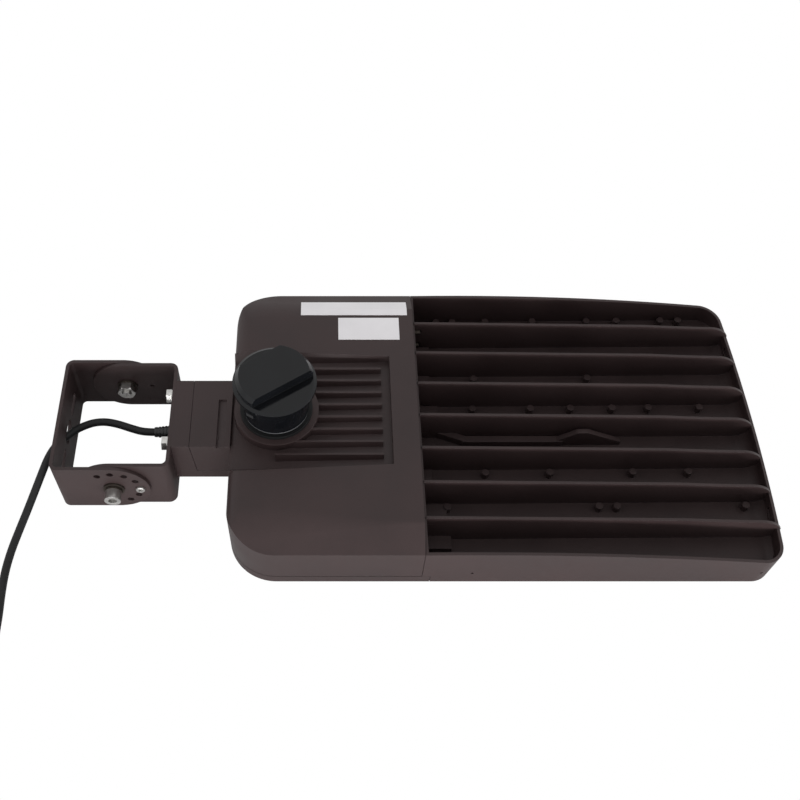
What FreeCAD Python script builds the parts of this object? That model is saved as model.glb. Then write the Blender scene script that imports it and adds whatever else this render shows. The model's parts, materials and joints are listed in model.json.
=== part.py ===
import FreeCAD, Part
import math
import os

# Shoebox area light lying on its optics, fins up. Millimetres, +X towards the
# tip, +Y away from the viewer, +Z up. Zero is the middle of the light on the
# surface that it lies on.

V = FreeCAD.Vector
os.makedirs("parts", exist_ok=True)

# ---------------------------------------------------------------- sizes
BRACKET_LENGTH = 115.0      # back of the yoke to the face of the adapter
HEAD_LENGTH = 524.5         # driver box and heat sink together
HEAD_WIDTH = 305.0
BOX_LENGTH = 183.5          # driver box along X
FLOOR_GAP = 10.5            # underside of the door above the surface
DOOR_DEPTH = 11.0
BAND_TOP = 68.0             # top of the upright side band
BOX_TOP = 80.0              # flat top of the driver box
SHOULDER_RUN = 27.5         # slanted shoulder measured across
SHOULDER_SOFT = (6.0, 85.0)  # crease of the shoulder, crisp at the seam and soft at the neck
END_RUN = 14.0              # rounding of the top towards the neck
REVEAL = 1.1                # height of the open seam seen above the door
REVEAL_DEEP = 0.9
BOX_CORNER = 46.0           # plan radius of the two box corners
WALL = 3.5                  # cast wall
SEAM = 0.4                  # open seam between castings

SINK_TIP_TOP = 48.5         # rim height at the tip
SINK_CORNER = 22.0
SINK_WALL = 3.0
TIP_BOW = 5.5               # how far the tip bulges beyond its corners
TIP_SCOOP = 13.0            # hollow sweep from the channel floors up to the tip rim
WEEP = (2.0, 12.0, 5.0)     # blind weep recess inside the tip: depth, width, height
FIN_COUNT = 7
FIN_PITCH = HEAD_WIDTH / (FIN_COUNT + 1)
FIN_THICK = 2.6
FIN_TOP = 69.5
SINK_FLOOR = 26.0           # top of the thin floor at the box end
SINK_FLOOR_RISE = 4.5       # rise of that floor at the tip
SINK_PLATE = 5.0

NECK_LENGTH = 39.5
NECK_WIDTH = 78.0
NECK_TOP = 71.0
NECK_BASE = 12.5
NECK_SEAM = 24.5
ADAPTER_LENGTH = 18.0
ADAPTER_SLANT = 4.5

PLATE = 3.5                 # bracket steel
PLATE_BEND = 8.0            # outside bend radius
ARM_HEIGHT = 71.0
YOKE_WIDTH = 130.0          # outside the yoke arms
PIVOT_REACH = 57.5          # pivot to the back of the yoke
NESTING_GAP = 0.3           # between the two brackets on each side
INDEX_RADIUS = 26.0
INDEX_STEP = 30.0
INDEX_HOLE = 3.3
TILT_UP = 60.0
TILT_DOWN = 60.0

BOLT = 10.0                 # pivot bolt thread
BOLT_CLEAR = 0.25           # radial room of the bolt in its holes
WASHER_THICK = 2.0
SPRING_THICK = 2.4
NUT_HEIGHT = 8.0
NUT_FLATS = 17.0
HEAD_HEIGHT = 10.0
HEAD_RADIUS = 8.0

SLOT_LENGTH = 26.0          # wall slots of the yoke back
SLOT_WIDTH = 8.5
SLOT_PITCH = 68.0           # between the two outer slots
CORD_SLOT_LENGTH = 28.0
CORD_SLOT_WIDTH = 13.0

SEAT_RADIUS = 41.5
SEAT_X_FROM_BOX_END = 44.5
CAP_RADIUS = 40.0
CAP_STEM_RADIUS = 32.0
CAP_HEIGHT = 60.0
CAP_RIM_LOW = 43.0          # underside of the rim above the seat
CAP_LIFT = 40.0
RECEPTACLE_RADIUS = 31.0
RECEPTACLE_HEIGHT = 12.0
PAD_CIRCLE = 20.5           # the four low-voltage pads
PAD_RADIUS = 2.9
RUN_FIT = 0.06              # radial clearance of turning fits

CORD = 8.0                  # outside diameter of the supply cord
COIL_OUTER = 50.5           # radius of the outermost turn
COIL_PITCH = 8.6            # centre to centre of neighbouring turns and layers
COIL_TURNS = 3.5            # spiral in and out again, in two layers
COIL_LIFT = 5.3             # centre of the lower layer above the surface
COIL_MIDDLE = (-441.5, -252.0)
TIE_THICK = 1.0
TIE_WIDTH = 5.0
LEAD = 2.6                  # insulated conductor
LEAD_LENGTH = 24.0
STRIP_LENGTH = 8.0
POCKET_SHORT = 26.0         # drain pocket in the box top, short of the heat sink
POCKET_LENGTH = BOX_LENGTH - POCKET_SHORT
POCKET_HALF = 62.0
POCKET_SPREAD = 10.0        # how far its sides lean out at the neck end
POCKET_DEEP = 13.0
POCKET_SHALLOW = 9.0
POCKET_CORNER = 8.0
POCKET_TROUGH = 9.0         # clear trough beyond the rib ends
RIB_COUNT = 8
RIB_PITCH = 14.4
RIB_DROP = 3.0              # rib ridges below the flat top
NECK_WALL = 4.0
NECK_GROOVE_BACK = 13.5     # groove ahead of the box end
DOOR_LAP = 8.0              # door under the end of the heat sink
DOOR_SCREW = 5.0
END_SCREW = 6.0
END_SCREW_INSET = 40.0
WIRE_WAY = 7.0
WIRE_Y = -8.0
WIRE_Z = 40.0

RIM_BOW_TOP = 65.0          # height of the bowed side rims half way along
FIN_END_FALL = 94.0         # from where the fin tops fall to the tip
FIN_BEND = HEAD_LENGTH - BOX_LENGTH - FIN_END_FALL
FIN_BEND_TOP = 64.8
UNDER = 20.0                # underside of the heat sink plate
SINK_WALL_LOW = 10.5
DUCT_HALF = 3.6
DUCT_RISE = 10.0            # cast duct above the floor of its channel
DUCT_HUMP = 15.0
BOARD_THICK = 1.6
BOARD_END = 36.0            # second board short of the tip
BOARD_SIDE = 27.5           # boards in from the sides
BOARD_WIDTH = HEAD_WIDTH - 2 * BOARD_SIDE
BOARD_GAP = 22.0            # between the two boards
BOARD_START = 27.0          # first board from the split
BOARD_LENGTH = (HEAD_LENGTH - BOX_LENGTH - BOARD_START - BOARD_GAP - BOARD_END) / 2
LENS_PLATE = 3.0
LENS_DROP = 3.4             # board face down to the lens plate
LENS_MARGIN = 5.0           # lens plate past the board
LENS_ROWS = 8
LENS_COLUMNS = 5
LENS_RADIUS = 10.0
LENS_BULGE = 6.0
FRAME_LOW = 0.0             # the optics frame is what the light lies on
FRAME_INSET = 10.5          # frame in from the sides of the heat sink
FRAME_HALF = HEAD_WIDTH / 2 - FRAME_INSET
FRAME_LIP = 6.0             # overlap of the frame on the lens plate
FRAME_PLATE = 4.0
FRAME_SCREW = 4.0
FRAME_SCREW_INSET = 9.0

INDEX_SCREW = 5.0
BRACKET_SCREW = 8.0
GLAND_THREAD = 8.2
GLAND_SLEEVE = 17.0
GLAND_FLANGE = 3.0
BRACKET_SCREW_RISE = 24.0
BRACKET_FLATS = 13.0
DRIVER_LENGTH = 190.0
DRIVER_WIDTH = 62.0
DRIVER_HEIGHT = 36.0
BLADE_CIRCLE = 16.7
BLADE_ANGLES = [(90.0, 22.0), (210.0, 18.0), (330.0, 18.0)]
CAP_FOOT = 6.0              # skirt of the cap above the seat
GRIP_ANGLE = 33.0
GRIP_NEAR = 15.5            # sides of the raised grip from the cap's axis
GRIP_FAR = 25.5
LABEL_THICK = 0.3
VENT_IN = 62.0
VENT_SIDE = -118.0

# places worked out from the sizes
OVERALL_LENGTH = BRACKET_LENGTH + ADAPTER_LENGTH + NECK_LENGTH + HEAD_LENGTH
X_YOKE = -OVERALL_LENGTH / 2
X_TIP = OVERALL_LENGTH / 2
X_BOX = X_TIP - HEAD_LENGTH
X_SPLIT = X_BOX + BOX_LENGTH
X_PIVOT = X_YOKE + PIVOT_REACH
X_NECK = X_BOX - NECK_LENGTH
X_ADAPTER = X_NECK - ADAPTER_LENGTH
Z_PIVOT = ARM_HEIGHT / 2
DOOR_SEAM = FLOOR_GAP + DOOR_DEPTH
HALF = HEAD_WIDTH / 2
SINK_LENGTH = HEAD_LENGTH - BOX_LENGTH
TOP_HALF = HALF - SHOULDER_RUN
UPPER_LABEL = (X_SPLIT - 116.5, X_SPLIT - 5.5, HALF - 36.0, HALF - 14.0)
LOWER_LABEL = (X_SPLIT - 77.5, X_SPLIT - 14.5, HALF - 68.1, HALF - 39.7)
X_SEAT = X_BOX + SEAT_X_FROM_BOX_END
SEAT_TOP = BOX_TOP - 1.5
TERMINAL_X = X_BOX + 14.0
ARM_OUT = YOKE_WIDTH / 2
ARM_IN = ARM_OUT - PLATE - NESTING_GAP


# ---------------------------------------------------------------- shapes
def box(x0, x1, y0, y1, z0, z1):
    return Part.makeBox(x1 - x0, y1 - y0, z1 - z0, V(x0, y0, z0))


def rod(radius, height, at, axis=(0, 0, 1)):
    return Part.makeCylinder(radius, height, V(*at), V(*axis))


def ring(outer, inner, height, at, axis=(0, 0, 1)):
    return rod(outer, height, at, axis).cut(rod(inner, height, at, axis))


def slab(points, along):
    """A flat outline of points, pushed along a vector."""
    loop = Part.makePolygon([V(*p) for p in points + points[:1]])
    return Part.Face(loop).extrude(V(*along))


def plate(x0, x1, half, z0, z1, radius):
    """An upright block with its four upright edges rounded."""
    block = box(x0, x1, -half, half, z0, z1)
    return round_upright(block, radius, lambda x: True)


def round_upright(shape, radius, wanted):
    edges = []
    for edge in shape.Edges:
        a, b = edge.Vertexes[0].Point, edge.Vertexes[-1].Point
        level = abs(a.x - b.x) < 1e-6 and abs(a.y - b.y) < 1e-6
        if level and abs(a.z - b.z) > 1e-6 and wanted(a.x):
            edges.append(edge)
    return shape.makeFillet(radius, edges)


def hexagon(flats, height, at, axis):
    """A hexagon prism with two corners level, its flats above and below."""
    reach = flats / math.sqrt(3)
    points = []
    for i in range(6):
        turn = math.radians(60 * i)
        points.append((at[0] + reach * math.cos(turn), at[1], at[2] + reach * math.sin(turn)))
    return slab(points, (0, axis * height, 0))


def many(shapes):
    return Part.makeCompound(shapes)


def save(name, shape):
    for solid in shape.Solids:
        if not solid.isValid():
            print("NOT VALID", name)
    shape.exportStep("parts/" + name + ".step")
    print(name, len(shape.Solids), round(sum(s.Volume for s in shape.Solids)))


# ---------------------------------------------------------------- driver box
def box_shell(inset, z_low):
    """The outer form of the driver box, or its hollow when inset is a wall."""
    half = HALF - inset
    top_half = TOP_HALF - inset * 0.4
    top = BOX_TOP - inset
    band = BAND_TOP - inset * 0.6
    x0, x1 = X_BOX + inset, X_SPLIT - inset
    radius = BOX_CORNER - inset
    # across: upright sides, slanted shoulders and a flat top
    body = slab([(x0, -half, z_low), (x0, half, z_low), (x0, half, band), (x0, top_half, top),
                 (x0, -top_half, top), (x0, -half, band)], (x1 - x0, 0, 0))
    creases = [e for e in body.Edges if abs(e.Length - (x1 - x0)) < 1e-6
               and abs(abs(e.CenterOfMass.y) - top_half) < 1e-6]
    crisp, soft = SHOULDER_SOFT
    for crease in creases:
        ahead = crease.Vertexes[0].Point.x < crease.Vertexes[-1].Point.x
        ends = (soft, crisp) if ahead else (crisp, soft)
        match = [e for e in body.Edges if (e.CenterOfMass - crease.CenterOfMass).Length < 1e-6]
        body = body.makeFillet(ends[0], ends[1], match)
    plan = round_upright(box(x0, x1 + radius, -half, half, z_low, top), radius, lambda x: x < x0 + 1)
    # along: the top rounds down to the end wall at the neck, except where the neck joins
    run, rise = END_RUN - inset * 0.4, top - band
    bend = (run ** 2 + rise ** 2) / (2 * rise)
    lean = math.asin(min(1.0, run / bend)) / 2
    middle = V(x0 + run - bend * math.sin(lean), 0, top - bend + bend * math.cos(lean))
    a, b = V(x0, 0, band), V(x0 + run, 0, top)
    corner = V(x0 - 1, 0, top + 5)
    over = Part.Wire([Part.Arc(a, middle, b).toShape(), Part.makeLine(b, V(b.x, 0, corner.z)),
                      Part.makeLine(V(b.x, 0, corner.z), corner),
                      Part.makeLine(corner, V(corner.x, 0, band)),
                      Part.makeLine(V(corner.x, 0, band), a)])
    face = Part.Face(over)
    face.translate(V(0, -half - 1, 0))
    wedge = face.extrude(V(0, 2 * half + 2, 0))
    keep = box(x0 - 1, b.x, -NECK_WIDTH / 2 - 30, NECK_WIDTH / 2 + 30, z_low, top + 5)
    return body.common(plan).cut(wedge.cut(keep))


def recess_cut():
    """The stepped drain pocket in the flat top, deeper and wider towards the neck."""
    x0, x1 = X_BOX - 1, X_BOX + POCKET_LENGTH
    deep, shallow = BOX_TOP - POCKET_DEEP, BOX_TOP - POCKET_SHALLOW
    half = POCKET_HALF
    top = BOX_TOP + 1
    spread = POCKET_SPREAD
    foot = Part.makePolygon([V(x0, -half, deep), V(x0, half, deep), V(x0, half + spread, top),
                             V(x0, -half - spread, top), V(x0, -half, deep)])
    head = Part.makePolygon([V(x1, -half, shallow), V(x1, half, shallow), V(x1, half + 1.5, top),
                             V(x1, -half - 1.5, top), V(x1, -half, shallow)])
    pocket = Part.makeLoft([foot, head], True, True)
    corner = plate(x0 - 60, x1, half + spread, deep - 1, top, POCKET_CORNER)
    return pocket.common(corner)


def rib(y):
    """One drain rib of the pocket, a ridge with sloping sides, from the seat to the end."""
    x1 = X_BOX + POCKET_LENGTH - POCKET_TROUGH
    low = BOX_TOP - POCKET_DEEP - 1.0
    top = BOX_TOP - RIB_DROP
    return slab([(X_SEAT, y - 4.2, low), (X_SEAT, y + 4.2, low), (X_SEAT, y + 1.0, top),
                 (X_SEAT, y - 1.0, top)], (x1 - X_SEAT, 0, 0))


def neck_block(inset):
    """The neck of the driver box with a slanted front; its hollow when inset."""
    half = NECK_WIDTH / 2 - inset
    low = NECK_SEAM if inset == 0 else NECK_SEAM - 1
    top = NECK_TOP - inset
    foot = ADAPTER_SLANT * (NECK_TOP - low) / (NECK_TOP - NECK_BASE)
    x0 = X_NECK if inset == 0 else X_NECK - 1
    x1 = X_BOX + 1 + inset
    body = slab([(x0, -half, top), (x1, -half, top), (x1, -half, low), (x0 + foot, -half, low)],
                (0, 2 * half, 0))
    return body


def housing():
    foot = box_shell(REVEAL_DEEP, DOOR_SEAM + SEAM).common(
        box(X_BOX, X_SPLIT - REVEAL_DEEP, -HALF, HALF, 0, DOOR_SEAM + REVEAL + 1))
    shell = box_shell(0, DOOR_SEAM + REVEAL).fuse(foot).cut(recess_cut())
    inner = box_shell(WALL, DOOR_SEAM - 5)
    ceiling = box(X_BOX - 1, X_BOX + POCKET_LENGTH + WALL, -POCKET_HALF - POCKET_SPREAD - WALL,
                  POCKET_HALF + POCKET_SPREAD + WALL, BOX_TOP - POCKET_DEEP - WALL, BOX_TOP + 1)
    inner = inner.cut(ceiling)
    seat = rod(SEAT_RADIUS, POCKET_DEEP + 1, (X_SEAT, 0, SEAT_TOP - POCKET_DEEP - 1))
    seat = seat.common(box(X_BOX, X_SPLIT, -HALF, HALF, 0, BOX_TOP))
    shell = shell.fuse(seat)
    for i in range(RIB_COUNT):
        y = (i - (RIB_COUNT - 1) / 2) * RIB_PITCH
        shell = shell.fuse(rib(y))
    shell = shell.fuse(neck_block(0).cut(box_shell(0, DOOR_SEAM)))
    shell = shell.cut(inner).cut(neck_block(NECK_WALL))
    # groove across the neck, and the wire way from the neck into the box
    gx = X_BOX - NECK_GROOVE_BACK
    shell = shell.cut(slab([(gx, -NECK_WIDTH / 2 - 1, NECK_TOP - 2.8), (gx + 8, -NECK_WIDTH / 2 - 1,
                      NECK_TOP - 1.6), (gx + 8, -NECK_WIDTH / 2 - 1, NECK_TOP + 1),
                      (gx, -NECK_WIDTH / 2 - 1, NECK_TOP + 1)], (0, NECK_WIDTH * 0.72, 0)))
    shell = shell.cut(rod(RECEPTACLE_RADIUS + RUN_FIT, 30, (X_SEAT, 0, SEAT_TOP - 20)))
    shell = shell.fuse(ring(RECEPTACLE_RADIUS + 4, RECEPTACLE_RADIUS + RUN_FIT, 14,
                            (X_SEAT, 0, SEAT_TOP - 14)))
    # wire way through the end wall, and bosses for door and end-wall screws
    shell = shell.cut(rod(WIRE_WAY, 20, (X_SPLIT - 10, WIRE_Y, WIRE_Z), (1, 0, 0)))
    for x, y in door_screw_places():
        shell = shell.fuse(rod(5.5, 24, (x, y, DOOR_SEAM + SEAM)))
        shell = shell.cut(rod(DOOR_SCREW / 2 + 0.05, 15, (x, y, DOOR_SEAM - 1)))
    for y, z in end_screw_places():
        shell = shell.cut(rod(END_SCREW / 2 + 0.2, 20, (X_SPLIT - 10, y, z), (1, 0, 0)))
    for y in (-NECK_WIDTH / 2 + 12, NECK_WIDTH / 2 - 12):
        x = X_NECK + 22
        shell = shell.fuse(rod(5.5, NECK_TOP - NECK_SEAM - 2, (x, y, NECK_SEAM)))
        shell = shell.cut(rod(2.55, 14, (x, y, NECK_SEAM - 1)))
    return shell.removeSplitter()


def door_screw_places():
    x0, x1 = X_BOX + 18, X_SPLIT - 12
    return [(x, y) for x in (x0 + 20, x1) for y in (-HALF + 8, HALF - 8)]


def end_screw_places():
    edge = HALF - END_SCREW_INSET
    return [(y, z) for y in (-edge, edge) for z in (34.0, 56.0)]


def door():
    """Cast lid of the driver box, a tray with a lip that laps under the heat sink end."""
    outer = box(X_BOX, X_SPLIT + DOOR_LAP + BOX_CORNER, -HALF, HALF, FLOOR_GAP, DOOR_SEAM)
    outer = round_upright(outer, BOX_CORNER, lambda x: x < X_BOX + 1)
    outer = outer.common(box(X_BOX, X_SPLIT + DOOR_LAP, -HALF, HALF, 0, DOOR_SEAM))
    tray = box(X_BOX + WALL, X_SPLIT - WALL + BOX_CORNER, -HALF + WALL, HALF - WALL,
               FLOOR_GAP + WALL, DOOR_SEAM + 1)
    tray = round_upright(tray, BOX_CORNER - WALL, lambda x: x < X_BOX + 5)
    tray = tray.common(box(X_BOX, X_SPLIT - WALL, -HALF, HALF, 0, DOOR_SEAM + 1))
    lid = outer.cut(tray)
    for x, y in door_screw_places():
        lid = lid.fuse(rod(5.5, DOOR_DEPTH, (x, y, FLOOR_GAP)))
        lid = lid.cut(rod(DOOR_SCREW / 2 + 0.2, 30, (x, y, 0)))
        lid = lid.cut(rod(4.6, 3.2, (x, y, FLOOR_GAP)))
    for i in range(7):
        y = (i - 3) * 30.0
        lid = lid.cut(box(X_BOX + 45, X_SPLIT - 35, y - 4, y + 4, FLOOR_GAP - 1, FLOOR_GAP + 1))
    lid = lid.cut(rod(6.1, 20, (X_BOX + VENT_IN, VENT_SIDE, 0)))
    return lid.removeSplitter()


def door_gasket():
    level = box(X_BOX, X_SPLIT, -HALF, HALF, DOOR_SEAM, DOOR_SEAM + SEAM)
    return box_shell(0.8, DOOR_SEAM - 1).cut(box_shell(WALL - 0.2, DOOR_SEAM - 2)).common(level)


def door_screws():
    screws = []
    for x, y in door_screw_places():
        shank = rod(DOOR_SCREW / 2, 17, (x, y, FLOOR_GAP + 3.0))
        head = rod(4.4, 3.0, (x, y, FLOOR_GAP + 0.2))
        drive = rod(1.8, 1.8, (x, y, FLOOR_GAP))
        screws.append(shank.fuse(head).cut(drive).removeSplitter())
    return many(screws)


def vent():
    at = (X_BOX + VENT_IN, VENT_SIDE, FLOOR_GAP - 1.5)
    cap = rod(8.5, 1.5, at)
    stem = rod(6.0, WALL + 4, (at[0], at[1], FLOOR_GAP))
    return cap.fuse(stem).cut(rod(1.5, 20, at)).removeSplitter()


# ---------------------------------------------------------------- heat sink
def side_profile(inset, low, crown):
    """Side outline of the heat sink: the side rims, or the taller fins when crowned."""
    x0 = X_SPLIT + SEAM + inset
    x1 = X_TIP - inset
    mid = X_SPLIT + FIN_BEND if crown else (x0 + x1) / 2
    top0 = FIN_TOP if crown else BAND_TOP
    top1 = FIN_BEND_TOP if crown else RIM_BOW_TOP
    end = SINK_TIP_TOP
    if crown:
        x2 = x1 - 20
        a, b = V(x0, 0, top0), V(mid, 0, top1)
        bow = Part.Arc(b, V((mid + x2) / 2 - 2, 0, top1 - 2.4), V(x2, 0, end + 12.5)).toShape()
        fall = Part.Arc(V(x2, 0, end + 12.5), V(x1 - 7, 0, end + 7.5), V(x1, 0, end)).toShape()
        upper = [Part.makeLine(a, b), bow, fall]
    else:
        a = V(x0, 0, top0)
        upper = [Part.Arc(a, V(mid, 0, top1), V(x1, 0, end)).toShape()]
    ends = [Part.makeLine(V(x1, 0, end), V(x1, 0, low)), Part.makeLine(V(x1, 0, low), V(x0, 0, low)),
            Part.makeLine(V(x0, 0, low), a)]
    return Part.Face(Part.Wire(upper + ends))


def sink_plan(inset, low):
    """An upright block with the plan of the heat sink and its bowed tip."""
    half = HALF - inset
    x0, corner, tip = X_SPLIT - 60, X_TIP - TIP_BOW - inset, X_TIP - inset
    near, far = V(corner, -half, low), V(corner, half, low)
    outline = Part.Wire([Part.makeLine(V(x0, -half, low), near),
                         Part.Arc(near, V(tip, 0, low), far).toShape(),
                         Part.makeLine(far, V(x0, half, low)),
                         Part.makeLine(V(x0, half, low), V(x0, -half, low))])
    plan = Part.Face(outline).extrude(V(0, 0, BOX_TOP - low))
    return round_upright(plan, SINK_CORNER - inset, lambda x: x > 0)


def sink_form(inset, low):
    """The outer form of the heat sink: its plan under the outline of its side rims."""
    half = HALF - inset
    face = side_profile(inset, low, False)
    face.translate(V(0, -half, 0))
    return face.extrude(V(0, 2 * half, 0)).common(sink_plan(inset, low))


def tip_scoop():
    """The hollow sweep that carries each channel floor up to the rim of the tip."""
    x1 = X_TIP - 1
    x0 = X_TIP - SINK_WALL - TIP_SCOOP
    z0 = floor_level(x0)
    lean = TIP_SCOOP * (1 - math.sqrt(0.5))
    a, b = V(x0, 0, z0), V(x0 + TIP_SCOOP, 0, z0 + TIP_SCOOP)
    sweep = Part.Arc(a, V(b.x - lean, 0, z0 + lean), b).toShape()
    outline = Part.Wire([sweep, Part.makeLine(b, V(x1, 0, b.z)),
                         Part.makeLine(V(x1, 0, b.z), V(x1, 0, z0 - 3)),
                         Part.makeLine(V(x1, 0, z0 - 3), V(x0, 0, z0 - 3)),
                         Part.makeLine(V(x0, 0, z0 - 3), a)])
    face = Part.Face(outline)
    face.translate(V(0, -HALF + 1, 0))
    return face.extrude(V(0, HEAD_WIDTH - 2, 0)).common(sink_form(0.5, UNDER + 1))


def floor_level(x):
    return SINK_FLOOR + SINK_FLOOR_RISE * (x - X_SPLIT) / (X_TIP - X_SPLIT)


def heat_sink():
    outer = sink_form(0, SINK_WALL_LOW)
    x0, x1 = X_SPLIT - 5, X_TIP + 5
    above = slab([(x0, -HALF, floor_level(x0)), (x1, -HALF, floor_level(x1)), (x1, -HALF, 100),
                  (x0, -HALF, 100)], (0, HEAD_WIDTH, 0))
    below = box(x0, x1, -HALF, HALF, 0, UNDER)
    inner = sink_plan(SINK_WALL, SINK_WALL_LOW - 1).common(
        box(X_SPLIT + SINK_WALL, X_TIP, -HALF, HALF, 0, BOX_TOP))
    sink = outer.cut(inner.common(above)).cut(inner.common(below))
    fins = []
    for i in range(FIN_COUNT):
        y = (i - (FIN_COUNT - 1) / 2) * FIN_PITCH
        fins.append(fin(y))
    for x, y, r, h in floor_bosses():
        fins.append(rod(r, h + 3, (x, y, floor_level(x) - 3)))
    for x, y, w in floor_blocks():
        fins.append(box(x, x + w, y - 7, y + 7, floor_level(x) - 3, floor_level(x) + 7))
    fins.append(wire_duct())
    fins.append(tip_scoop())
    sink = sink.fuse(fins)
    # weep recesses inside the tip, side screw holes, screw holes in the end wall and underside
    deep, wide, high = WEEP
    for y in (-2.5 * FIN_PITCH, 2.5 * FIN_PITCH):
        x = X_TIP - TIP_BOW * (y / HALF) ** 2 - SINK_WALL
        z = floor_level(x) + TIP_SCOOP - high
        sink = sink.cut(box(x - 4, x + deep - 0.5, y - wide / 2, y + wide / 2, z, z + high))
    sink = sink.cut(box(X_SPLIT - 1, X_SPLIT + DOOR_LAP + SEAM, -HALF - 1, HALF + 1, 0,
                        DOOR_SEAM + SEAM))
    sink = sink.cut(rod(WIRE_WAY, 20, (X_SPLIT - 5, WIRE_Y, WIRE_Z), (1, 0, 0)))
    for y, z in end_screw_places():
        sink = sink.cut(rod(END_SCREW / 2 + 0.05, 12, (X_SPLIT - 1, y, z), (1, 0, 0)))
    for x, y in frame_screw_places():
        sink = sink.cut(rod(FRAME_SCREW / 2 + 0.05, 4.6, (x, y, UNDER - 0.6)))
    for x in (X_SPLIT + 47, X_TIP - 22):
        for side in (-1, 1):
            hole = rod(1.4, 3.0, (x, side * (HALF + 0.5), 29.0), (0, -side, 0))
            sink = sink.cut(hole)
    return sink.removeSplitter()


def fin(y):
    face = side_profile(SINK_WALL - 1, SINK_FLOOR - 3, True)
    face.translate(V(0, y - FIN_THICK / 2, 0))
    return face.extrude(V(0, FIN_THICK, 0))


def floor_bosses():
    """Round bosses at the foot of the fins: place, radius and height."""
    spots = []
    rows = {3.5: (0.09, 0.142, 0.248, 0.4, 0.574, 0.67, 0.81, 0.867),
            0.5: (0.181, 0.356, 0.477, 0.604, 0.713, 0.867), -1.5: (0.2, 0.387, 0.628, 0.79),
            -2.5: (0.082, 0.514, 0.565, 0.93), 1.5: (0.193, 0.544)}
    for row, places in rows.items():
        for share in places:
            spots.append((X_SPLIT + share * SINK_LENGTH, (row + 0.28) * FIN_PITCH, 3.6, 8.0))
    return spots


def floor_blocks():
    """Short cast blocks at the box end of the channels."""
    return [(X_SPLIT + 3, (row + 0.2) * FIN_PITCH, w) for row, w in
            ((2.5, 18), (1.5, 16), (0.5, 22), (-1.5, 12), (-2.5, 24), (-3.4, 26))]


def wire_duct():
    """Cast duct over the leads: a slanted arm from the box, a long run and a hump."""
    low = SINK_FLOOR
    y = -0.22 * FIN_PITCH
    begin, knee, foot, crown, shoulder, end = [X_SPLIT + share * SINK_LENGTH for share in
                                               (0.01, 0.15, 0.42, 0.475, 0.505, 0.61)]
    top = low + DUCT_RISE
    arm = slab([(begin, y + 14, low), (begin, y + 14 + DUCT_HALF * 2, low),
                (knee, y + DUCT_HALF, low), (knee, y - DUCT_HALF, low)], (0, 0, DUCT_RISE))
    run = box(knee - 3, foot + 6, y - DUCT_HALF, y + DUCT_HALF, low, top)
    hump = slab([(foot, y - DUCT_HALF + 1, low), (foot, y - DUCT_HALF + 1, top),
                 (crown, y - DUCT_HALF + 1, top + DUCT_HUMP),
                 (shoulder, y - DUCT_HALF + 1, top + DUCT_HUMP),
                 (end, y - DUCT_HALF + 1, top - 2), (end, y - DUCT_HALF + 1, low)],
                (0, 2 * DUCT_HALF - 2, 0))
    return arm.fuse(run).fuse(hump).removeSplitter()


def end_gasket():
    """Seal between the box end and the heat sink, filling the seam."""
    face = box(X_SPLIT, X_SPLIT + SEAM, -HALF + 3, HALF - 3, DOOR_SEAM + 2, BAND_TOP - 3)
    hole = box(X_SPLIT - 1, X_SPLIT + 1, -HALF + 25, HALF - 25, DOOR_SEAM + 8, BAND_TOP - 9)
    seal = face.cut(hole.cut(rod(WIRE_WAY + 5, 4, (X_SPLIT - 2, WIRE_Y, WIRE_Z), (1, 0, 0)).fuse(
        box(X_SPLIT - 2, X_SPLIT + 2, WIRE_Y - 3, WIRE_Y + 3, WIRE_Z, BAND_TOP))))
    seal = seal.cut(rod(WIRE_WAY, 4, (X_SPLIT - 2, WIRE_Y, WIRE_Z), (1, 0, 0)))
    for y, z in end_screw_places():
        seal = seal.cut(rod(END_SCREW / 2 + 0.2, 4, (X_SPLIT - 2, y, z), (1, 0, 0)))
    return seal


def end_screws():
    screws = []
    for y, z in end_screw_places():
        x = X_SPLIT - WALL
        shank = rod(END_SCREW / 2, 13, (x, y, z), (1, 0, 0))
        head = rod(5.0, 4.0, (x - 4.0, y, z), (1, 0, 0))
        drive = rod(2.2, 2.5, (x - 4.0, y, z), (1, 0, 0))
        screws.append(shank.fuse(head).cut(drive).removeSplitter())
    return many(screws)


# ---------------------------------------------------------------- optics
def board_places():
    x0 = X_SPLIT + BOARD_START
    return [x0, x0 + BOARD_LENGTH + BOARD_GAP]


def led_board(x):
    z = UNDER - BOARD_THICK
    board = box(x, x + BOARD_LENGTH, -BOARD_WIDTH / 2, BOARD_WIDTH / 2, z, UNDER)
    chips = []
    for cx, cy in lens_places(x):
        chips.append(box(cx - 2.5, cx + 2.5, cy - 2.5, cy + 2.5, z - 0.8, z + 0.2))
    return board.fuse(chips).removeSplitter()


def lens_places(x):
    step_x = BOARD_LENGTH / LENS_COLUMNS
    step_y = BOARD_WIDTH / LENS_ROWS
    return [(x + (i + 0.5) * step_x, -BOARD_WIDTH / 2 + (j + 0.5) * step_y)
            for i in range(LENS_COLUMNS) for j in range(LENS_ROWS)]


def lens_top():
    return UNDER - BOARD_THICK - LENS_DROP


def lens_array(x):
    top = lens_top()
    m = LENS_MARGIN
    sheet = box(x - m, x + BOARD_LENGTH + m, -BOARD_WIDTH / 2 - m, BOARD_WIDTH / 2 + m,
                top - LENS_PLATE, top)
    sphere = (LENS_RADIUS ** 2 + LENS_BULGE ** 2) / (2 * LENS_BULGE)
    domes = []
    for cx, cy in lens_places(x):
        low = top - LENS_PLATE
        ball = Part.makeSphere(sphere, V(cx, cy, low - LENS_BULGE + sphere))
        domes.append(ball.common(rod(LENS_RADIUS, LENS_BULGE + 0.5, (cx, cy, low - LENS_BULGE))))
    return sheet.fuse(domes).removeSplitter()


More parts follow.
